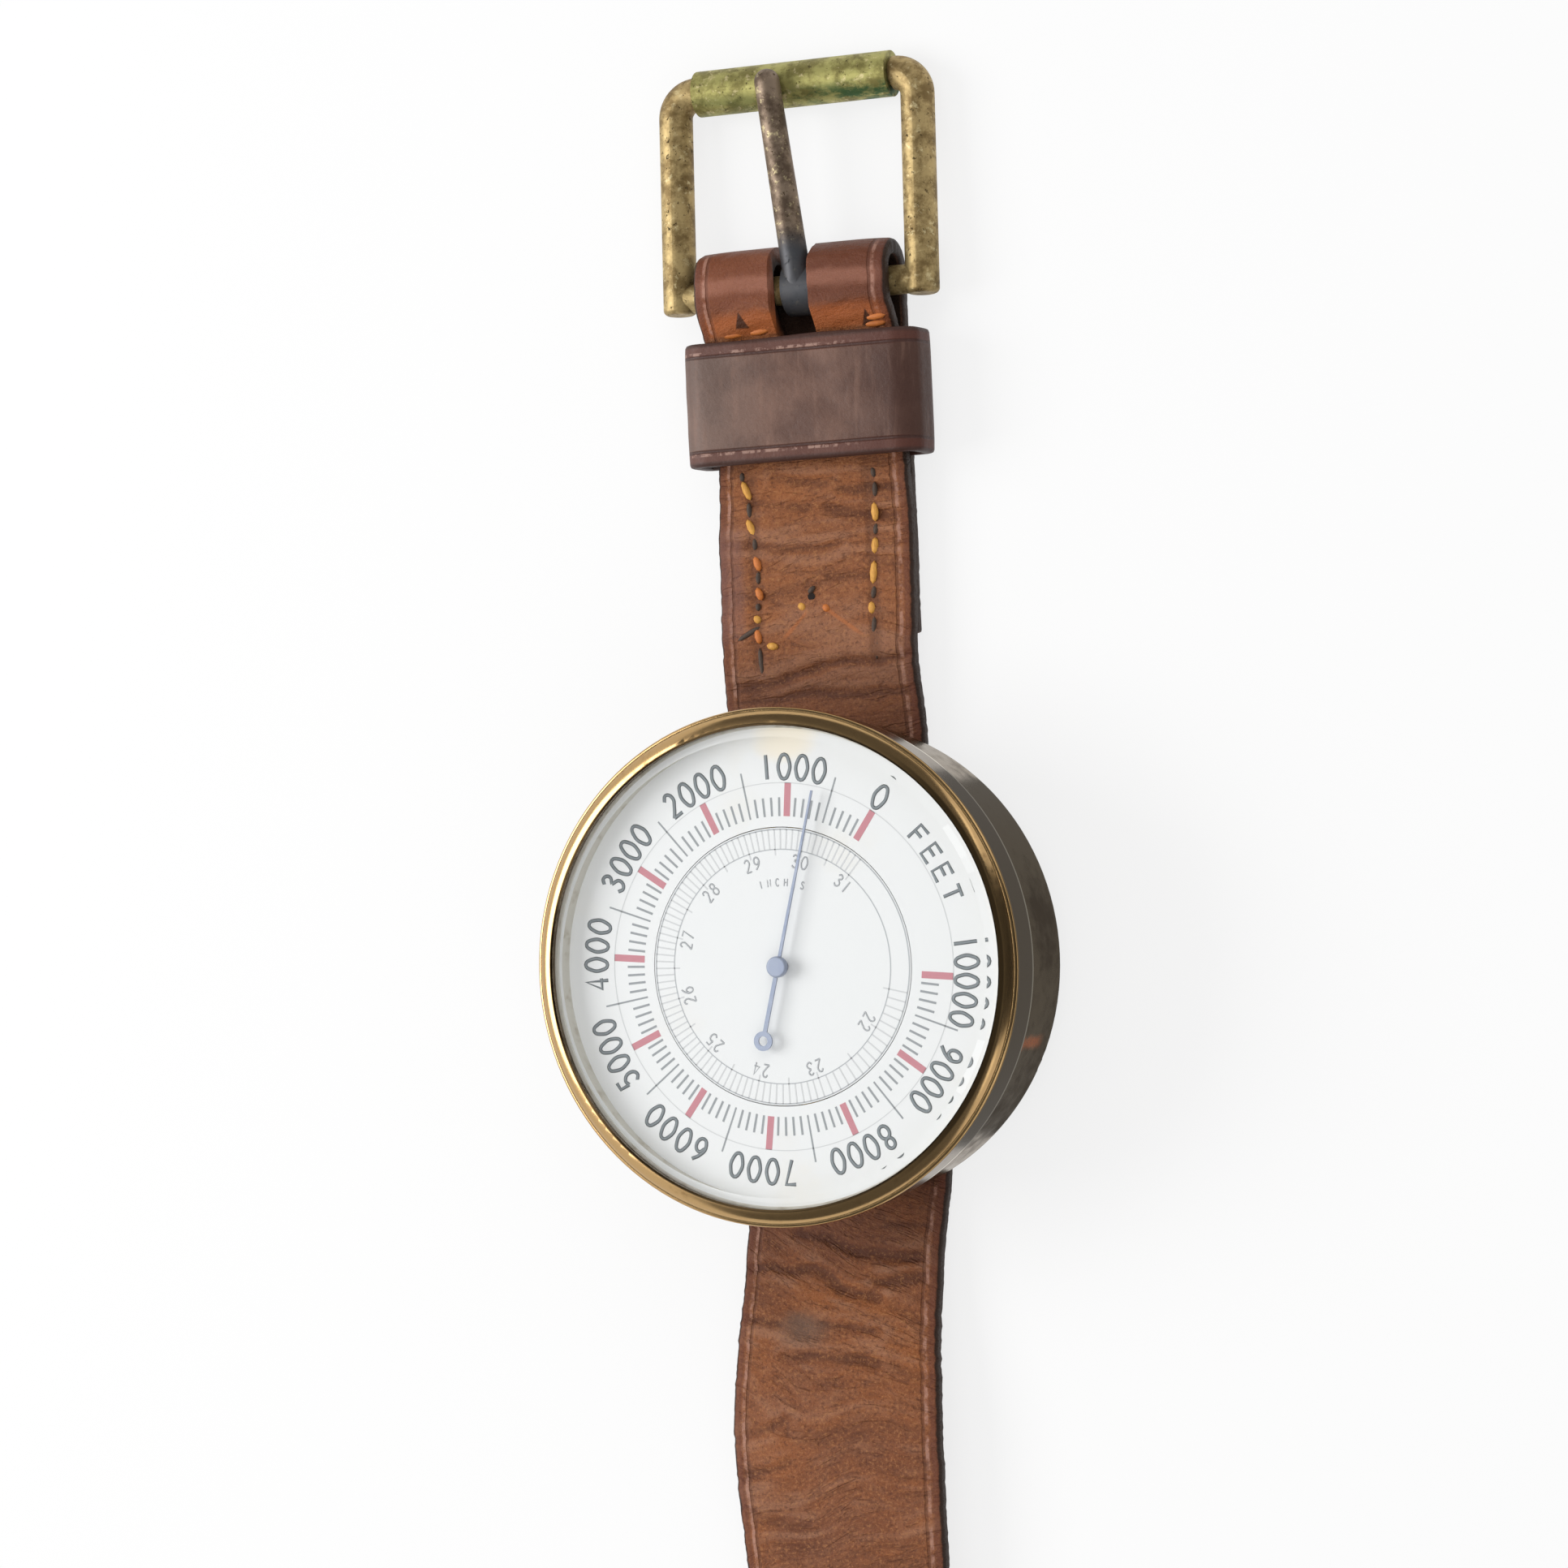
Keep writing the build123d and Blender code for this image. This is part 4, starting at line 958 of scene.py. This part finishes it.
# Corners as (x, z, bend radius), from one pared end round the strap to the other
keeper_corners = [
    (-7, 2.65, 0), (-15.05, 2.65, 0.6), (-15.05, 8.75, 2.2), (15.05, 8.75, 2.2),
    (15.05, 2.65, 0.6), (7, 2.65, 0),
]

keeper_line = even_steps(rounded(keeper_corners))
keeper_run = STEP * (len(keeper_line) - 1)
strip = flat_leather(KEEPER_LENGTH, keeper_run, KEEPER_LEATHER, 24, round(keeper_run / 0.6), 0.4)
dark_leather = Finish("keeper_leather", Specular_IOR_Level=0.4)
keeper = new_piece("keeper_loop", strip, dark_leather)
for vert in keeper.data.vertices:
    across, along, height = vert.co
    from_end = min(along, keeper_run - along)
    thin = PARED_SHARE if from_end < PARED_RUN else 1.0
    edge = (abs(across) / (KEEPER_LENGTH / 2)) ** 6
    outer = height > 0
    x, z = on_line(keeper_line, along, height * thin - (KEEPER_DROP * edge if outer else 0.0))
    if outer and from_end > 12:
        z += 0.12 * noise.noise((x * 0.2, across * 0.3, 4.0)) - 0.05
    bow = 0.25 * noise.noise((along * 0.08, math.copysign(4.0, across), 2.0)) * edge
    vert.co = Vector((x + KEEPER_SHIFT, KEEPER_MIDDLE - across - bow, z)) * MM
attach(keeper, "case_body")
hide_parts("keeper")
print("keeper faces:", len(keeper.data.polygons))

# %% Keeper leather: a painted reflection at the left, painted shade at the right, and a chalky line beside the tooling
x = dark_leather.x
coat = dark_leather.coat
from_middle = abs(dark_leather.y - KEEPER_MIDDLE)
cloud = dark_leather.noise(0.16, detail=4)
fine = dark_leather.noise(1.3, shift=(2, 2, 2), detail=5, rough=0.7)
streaks = dark_leather.noise(0.9, stretch=(1, 0.12, 1), shift=(7, 1, 0), detail=4, rough=0.6)
dark_leather.base(cloud.spread(0.36, 0.64), (92, 62, 50), (116, 84, 70))
# A painted reflection greys the left end.
coat(x.spread(0, -14.5) * 0.5, 112, 96, 88)
# Painted shade darkens the right end, where the keeper turns down.
coat(x.spread(4, 13.5) * 0.75, 66, 36, 26)
coat(streaks.spread(0.5, 0.75) * 0.3, 140, 106, 90)
coat(fine.spread(0.48, 0.3) * 0.25, 70, 44, 34)
coat((from_middle + cloud * 0.6).spread(5.9, 6.3) * 0.75, 90, 46, 34)
tooled = from_middle.band(5.7, 5.9, 6.05, 6.25)
coat(tooled * 0.7, 58, 34, 28)
chalk = from_middle.band(6.1, 6.25, 6.45, 6.65)
chalk = chalk * (streaks + fine).spread(0.95, 1.1) * x.spread(10, 4)
coat(chalk * 0.75, 168, 134, 120)
coat(from_middle.spread(7, 7.5) * 0.7, 52, 32, 26)
dark_leather.feed("Roughness", 0.38 + fine * 0.3)
dark_leather.bump(fine * 0.6 + cloud - tooled, 0.15, 0.8)
print("keeper material nodes:", len(dark_leather.tree.nodes))

# %% [markdown]
# ## Stitches
#
# Two rows of thick waxed thread hold the folded end down, and a few stitches cross the fold.
# Each stitch is a stretched ball, half sunk in the leather, and where the thread dips a dark ball
# stands in as painted shade.
# They were sewn by hand, so their places are given one by one. An array would be even.

# %% Thread
gold_thread = Finish("gold_thread", Roughness=0.6)
fibre = gold_thread.noise(5, stretch=(1, 0.3, 1), detail=2)
gold_thread.base(fibre, (244, 188, 88), (184, 116, 40))
gold_thread.bump(fibre, 0.1)


def plain_thread(name, rough, scale, light, dark):
    """Thread whose two tones change in patches."""
    finish = Finish(name, Roughness=rough)
    finish.base(finish.noise(scale), light, dark)
    return finish


# A dark thread for the stitches' dips: painted shade.
dip_shade_thread = plain_thread("dip_shade_thread", 0.7, 3, (96, 76, 62), (36, 28, 24))
orange_thread = plain_thread("orange_thread", 0.6, 4, (222, 134, 58), (176, 92, 40))
# The stray hole is a flat dark disc: painted shade inside the hole.
hole_shade = Finish("hole_shade", Base_Color=paint(28, 18, 14), Roughness=0.9)
thread_finishes = (gold_thread, dip_shade_thread, orange_thread, hole_shade)
print("threads:", [f.material.name for f in thread_finishes])

# %% Stitches
GOLD, DIP_SHADE, ORANGE, HOLE_SHADE = range(4)
THREAD_WIDTH = 1
FOLD_LIFT = 0.1
STRAY_HOLE = (-1, 46)
STRAY_RADIUS = 0.5
STRAY_LIFT = 0.06

# A stitch is its thread, then x and y of both its ends: the left row, the right row, the strays
lap_stitches = [
    (DIP_SHADE, -9.4, 62.2, -9.5, 61), (GOLD, -9.5, 61.1, -8.6, 58.6), (DIP_SHADE, -8.9, 58.4, -8.9, 56.4),
    (GOLD, -9.3, 56.3, -8.4, 54.1), (DIP_SHADE, -8.4, 53.9, -8.4, 52.2),
    (ORANGE, -8.5, 51.6, -7.9, 49.6), (DIP_SHADE, -8.1, 49.6, -8.2, 48),
    (ORANGE, -8.4, 47.6, -7.8, 45.9), (DIP_SHADE, -8.4, 45.6, -8.3, 44.6),
    (GOLD, -8.9, 44, -8.1, 43.1), (DIP_SHADE, -11.4, 41, -8, 42.7),
    (ORANGE, -8.7, 42.4, -8.3, 40.4), (DIP_SHADE, -8.4, 40, -8.2, 36.3),
    (GOLD, -7.4, 40.2, -5.8, 39.9), (DIP_SHADE, 8.3, 61.6, 8.4, 60.3), (DIP_SHADE, 8.4, 59.8, 8.3, 57.9),
    (GOLD, 8.1, 57.3, 8.1, 54.8), (DIP_SHADE, 8.2, 54.6, 8, 53.2), (GOLD, 8, 52.9, 7.8, 50.8),
    (GOLD, 7.7, 50, 7.4, 47), (DIP_SHADE, 7.6, 46.8, 7.3, 45.2), (GOLD, 7.1, 44.9, 7.1, 43.3),
    (DIP_SHADE, 7.4, 43, 7.2, 40.6), (DIP_SHADE, 7.8, 40.4, 7.4, 37.6), (DIP_SHADE, -1.4, 46.4, -0.5, 47.3),
    (GOLD, -2.8, 45.2, -1.9, 44.4), (ORANGE, 0.6, 44.9, 1.3, 44),
]
fold_stitches = [
    (ORANGE, -11.2, 79.5, -7.8, 79.6), (ORANGE, -7.4, 79.6, -4.3, 79.8),
    (ORANGE, 8.7, 80.2, 11.6, 80.3), (ORANGE, 8.4, 79.4, 11.4, 79.5),
]


def colour_faces(made, index):
    """Gives the faces that an operator has made a material."""
    for face in {f for v in made["verts"] for f in v.link_faces}:
        face.material_index = index


def stitch(bm, thread, x1, y1, x2, y2, lift=0.0):
    """A stitch between two places on the strap."""
    a = Vector((x1, y1, strap_top(y1) + lift))
    b = Vector((x2, y2, strap_top(y2) + lift))
    turn = (b - a).to_track_quat("Y", "Z").to_matrix().to_4x4()
    wide = THREAD_WIDTH * (0.36 if thread == DIP_SHADE else 0.5)
    shape = Matrix.Diagonal((wide, (b - a).length / 2, wide * 0.8, 1))
    place = Matrix.Translation((a + b) / 2) @ turn @ shape
    made = bmesh.ops.create_uvsphere(bm, u_segments=8, v_segments=7, radius=1, matrix=place)
    colour_faces(made, thread)


sewing = bmesh.new()
for values in lap_stitches:
    stitch(sewing, *values)
for values in fold_stitches:
    stitch(sewing, *values, FOLD_LIFT)
place = Matrix.Translation((*STRAY_HOLE, strap_top(STRAY_HOLE[1]) + STRAY_LIFT))
hole = bmesh.ops.create_circle(
    sewing, cap_ends=True, segments=12, radius=STRAY_RADIUS, matrix=place
)
colour_faces(hole, HOLE_SHADE)
bmesh.ops.scale(sewing, vec=(MM, MM, MM), verts=sewing.verts[:])
stitches = new_piece("stitches", sewing, *thread_finishes)
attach(stitches, "case_body")
print("stitches:", len(lap_stitches) + len(fold_stitches))

# %% [markdown]
# ## Print on the dial
#
# The scales are printed ink, so they are as thin as ink: bars and rings 0.02 mm thick lying on
# the enamel. The altitude scale turns with the bezel and the pressure scale stays with the
# case, so they are separate pieces that ride on different bodies. An image would be simpler,
# but its edges would blur, and the division of the scale could not be read from it.

# %% Bars, rings and strokes of ink
INK = 0.02
DIAL_Z = 21.05


def dial_place(degrees, radius):
    """A frame on the dial: its Y points outward. degrees run clockwise as the camera sees it."""
    turn = Matrix.Rotation(-math.radians(degrees) - TURN, 4, "Z")
    return turn @ Matrix.Translation((0, radius, DIAL_Z))


def bar(bm, degrees, inner, outer, width):
    """A stroke along a radius, from inner to outer."""
    shape = Matrix.Diagonal((width, outer - inner, INK, 1))
    place = dial_place(degrees, (inner + outer) / 2) @ Matrix.Translation((0, 0, INK / 2))
    bmesh.ops.create_cube(bm, size=1, matrix=place @ shape)


def ring(bm, radius, width):
    """A flat circle of ink, width across its line."""
    loops = []
    for r in (radius - width / 2, radius + width / 2):
        made = bmesh.ops.create_circle(
            bm, segments=180, radius=r, matrix=Matrix.Translation((0, 0, DIAL_Z + INK))
        )
        loops += {e for v in made["verts"] for e in v.link_edges}
    bmesh.ops.bridge_loops(bm, edges=loops)


def ink(name, *colour):
    return Finish(name, Base_Color=paint(*colour), Roughness=0.6)


grey_ink = ink("grey_ink", 122, 130, 134)
tick_ink = ink("tick_ink", 146, 151, 154)
faint_ink = ink("faint_ink", 178, 182, 185)
pale_ink = ink("pale_ink", 206, 208, 209)
red_ink = ink("red_ink", 194, 126, 136)
print("inks:", [f.material.name for f in (grey_ink, tick_ink, faint_ink, pale_ink, red_ink)])


# %% Letters
def arc(*points):
    return (False, True, points)


def loop(*points):
    return (True, True, points)


def line(*points):
    return (False, False, points)


# A letter is its strokes, each of them (closed, smooth, points) on a field 50 wide and 100 high
glyphs = {
    "0": [loop((25, 100), (0, 72), (0, 28), (25, 0), (50, 28), (50, 72))],
    "1": [line((25, 0), (25, 100))],
    "2": [arc((2, 80), (25, 100), (48, 74), (30, 38), (0, 0)), line((0, 0), (50, 0))],
    "3": [arc((2, 86), (25, 100), (46, 78), (20, 55)), arc((20, 55), (50, 28), (25, 0), (0, 16))],
    "4": [line((38, 0), (38, 100), (0, 30), (50, 30))],
    "5": [line((45, 100), (8, 100), (4, 56)),
          arc((4, 56), (28, 62), (50, 32), (26, 0), (0, 14))],
    "6": [arc((42, 98), (12, 66), (0, 30), (25, 0), (50, 30), (27, 58), (3, 36))],
    "7": [line((0, 100), (50, 100), (16, 0))],
    "8": [loop((25, 100), (4, 78), (25, 55), (46, 78)), loop((25, 55), (0, 28), (25, 0), (50, 28))],
    "9": [arc((8, 2), (38, 34), (50, 70), (25, 100), (0, 70), (23, 42), (47, 64))],
    "F": [line((0, 0), (0, 100), (45, 100)), line((0, 55), (36, 55))],
    "E": [line((46, 0), (0, 0), (0, 100), (46, 100)), line((0, 54), (38, 54))],
    "T": [line((25, 0), (25, 100)), line((0, 100), (50, 100))],
    "I": [line((25, 0), (25, 100))],
    "N": [line((0, 0), (0, 100), (50, 0), (50, 100))],
    "C": [arc((48, 82), (25, 100), (0, 70), (0, 30), (25, 0), (48, 18))],
    "H": [line((0, 0), (0, 100)), line((50, 0), (50, 100)), line((0, 50), (50, 50))],
    "S": [arc((46, 84), (25, 100), (3, 76), (25, 52), (48, 26), (25, 0), (2, 16))],
}


def ink_letter(letter, height, stroke, wide):
    """A letter of flat strokes, centred on the origin, as a mesh. wide stretches it sideways."""
    curve = bpy.data.curves.new("ink", "CURVE")
    curve.dimensions = "3D"
    curve.resolution_u = 4
    curve.bevel_depth = stroke / 2
    curve.bevel_resolution = 0
    curve.use_fill_caps = True
    for closed, smooth, points in glyphs[letter]:
        spline = curve.splines.new("BEZIER")
        spline.bezier_points.add(len(points) - 1)
        spline.use_cyclic_u = closed
        for bezier, (u, v) in zip(spline.bezier_points, points):
            bezier.co = ((u / 100 - 0.25) * height * wide, (v / 100 - 0.5) * height, 0)
            bezier.handle_left_type = bezier.handle_right_type = "AUTO" if smooth else "VECTOR"
    holder = bpy.data.objects.new("ink", curve)
    bpy.context.scene.collection.objects.link(holder)
    graph = bpy.context.evaluated_depsgraph_get()
    mesh = bpy.data.meshes.new_from_object(holder.evaluated_get(graph))
    bpy.data.objects.remove(holder)
    mesh.transform(Matrix.Diagonal((1, 1, INK / stroke, 1)))
    return mesh


def write(bm, text, height, stroke, degrees, radius, pitch, wide=0.88):
    """Letters along an arc of the dial, pitch degrees apart, their feet toward the middle."""
    for n, letter in enumerate(text):
        mesh = ink_letter(letter, height, stroke, wide)
        place = dial_place(degrees + (n - (len(text) - 1) / 2) * pitch, radius)
        mesh.transform(place @ Matrix.Translation((0, 0, INK)))
        bm.from_mesh(mesh)
        bpy.data.meshes.remove(mesh)


def print_piece(name, bm, finish, body):
    """Turns ink in mm into a piece that rides on a body."""
    bmesh.ops.scale(bm, vec=(MM, MM, MM), verts=bm.verts[:])
    piece = new_piece(name, bm, finish, smooth=False)
    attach(piece, body)
    print(name, "faces:", len(piece.data.polygons))


print("letters:", len(glyphs))

# %% The altitude scale, which turns with the bezel
SCALE_INNER = 18.4
SCALE_OUTER = 22.5
TENTH_OUTER = 20.7
HALF_OUTER = 24.2
NUMBER_RADIUS = 24.45
FEET_ANGLE = 58.0
FEET_RADIUS = 24.1

# Where each thousand feet stands, and how far its number is turned and moved out from there
thousands = [
    (32.2, -0.2, 0), (2.1, 1.4, 0), (-28.1, -0.4, 0.1), (-58.3, 0.3, 0.3), (-88, 0.4, 0.5),
    (-117.3, 0.7, 0.7), (-146, 0, 0.8), (-175.7, 1.2, 0.7), (-205.9, 0, 0.3),
    (-236.7, -0.2, -0.1), (-267.8, 1.1, -0.2),
]
ticks, bars, numbers, circle = [bmesh.new() for n in range(4)]
for thousand, (degrees, number_turn, number_out) in enumerate(thousands):
    bar(bars, degrees, SCALE_INNER, SCALE_OUTER, 0.85)
    text, radius = str(1000 * thousand), NUMBER_RADIUS + number_out
    write(numbers, text, 3.0, 0.46, degrees + number_turn, radius, 5.5)
for (start, _, _), (end, _, _) in zip(thousands, thousands[1:]):
    for tenth in range(1, 10):
        outer, width = (HALF_OUTER, 0.22) if tenth == 5 else (TENTH_OUTER, 0.28)
        bar(ticks, start + (end - start) / 10 * tenth, SCALE_INNER, outer, width)
write(numbers, "FEET", 2.3, 0.42, FEET_ANGLE, FEET_RADIUS, 6.45, 1.45)
ring(circle, SCALE_OUTER, 0.1)
print_piece("altitude_circle", circle, pale_ink, "bezel_body")
print_piece("altitude_ticks", ticks, tick_ink, "bezel_body")
print_piece("altitude_bars", bars, red_ink, "bezel_body")
print_piece("altitude_numbers", numbers, grey_ink, "bezel_body")

# %% The pressure scale, fixed to the case
PRESSURE_INNER = 14.35
PRESSURE_OUTER = 16.8
LONG_TICK_INNER = 13.6
TICK_INNER = 14.4
PRESSURE_NUMBERS = 13.0
INCHES_RADIUS = 10.3
TENTHS = 96

# Where each inch of mercury stands, from 31 down to 22, and the scale's end at 21.5
inch_marks = [
    (31, 38.2), (30, 10.6), (29, -17.5), (28, -46.6), (27, -76.5), (26, -106.8), (25, -137),
    (24, -167.9), (23, -199.9), (22, -239.9), (21.5, -259.9),
]


def pressure_angle(inches):
    """The angle of a reading: even steps between the whole inches."""
    for (high, start), (low, end) in zip(inch_marks, inch_marks[1:]):
        if inches >= low:
            return start + (end - start) * (high - inches) / (high - low)
    return inch_marks[-1][1]


ticks, circles, numbers = [bmesh.new() for n in range(3)]
ring(circles, PRESSURE_INNER, 0.13)
ring(circles, PRESSURE_OUTER, 0.16)
for tenth in range(TENTHS):
    inner = LONG_TICK_INNER if tenth % 5 == 0 else TICK_INNER
    bar(ticks, pressure_angle(31 - tenth * 0.1), inner, PRESSURE_OUTER, 0.18)
for inches in range(22, 32):
    write(numbers, str(inches), 1.55, 0.2, pressure_angle(inches), PRESSURE_NUMBERS, 5.6)
write(numbers, "INCHES", 0.9, 0.15, 0.0, INCHES_RADIUS, 6.2)
print_piece("pressure_ticks", ticks, pale_ink, "case_body")
print_piece("pressure_circles", circles, faint_ink, "case_body")
print_piece("pressure_numbers", numbers, faint_ink, "case_body")
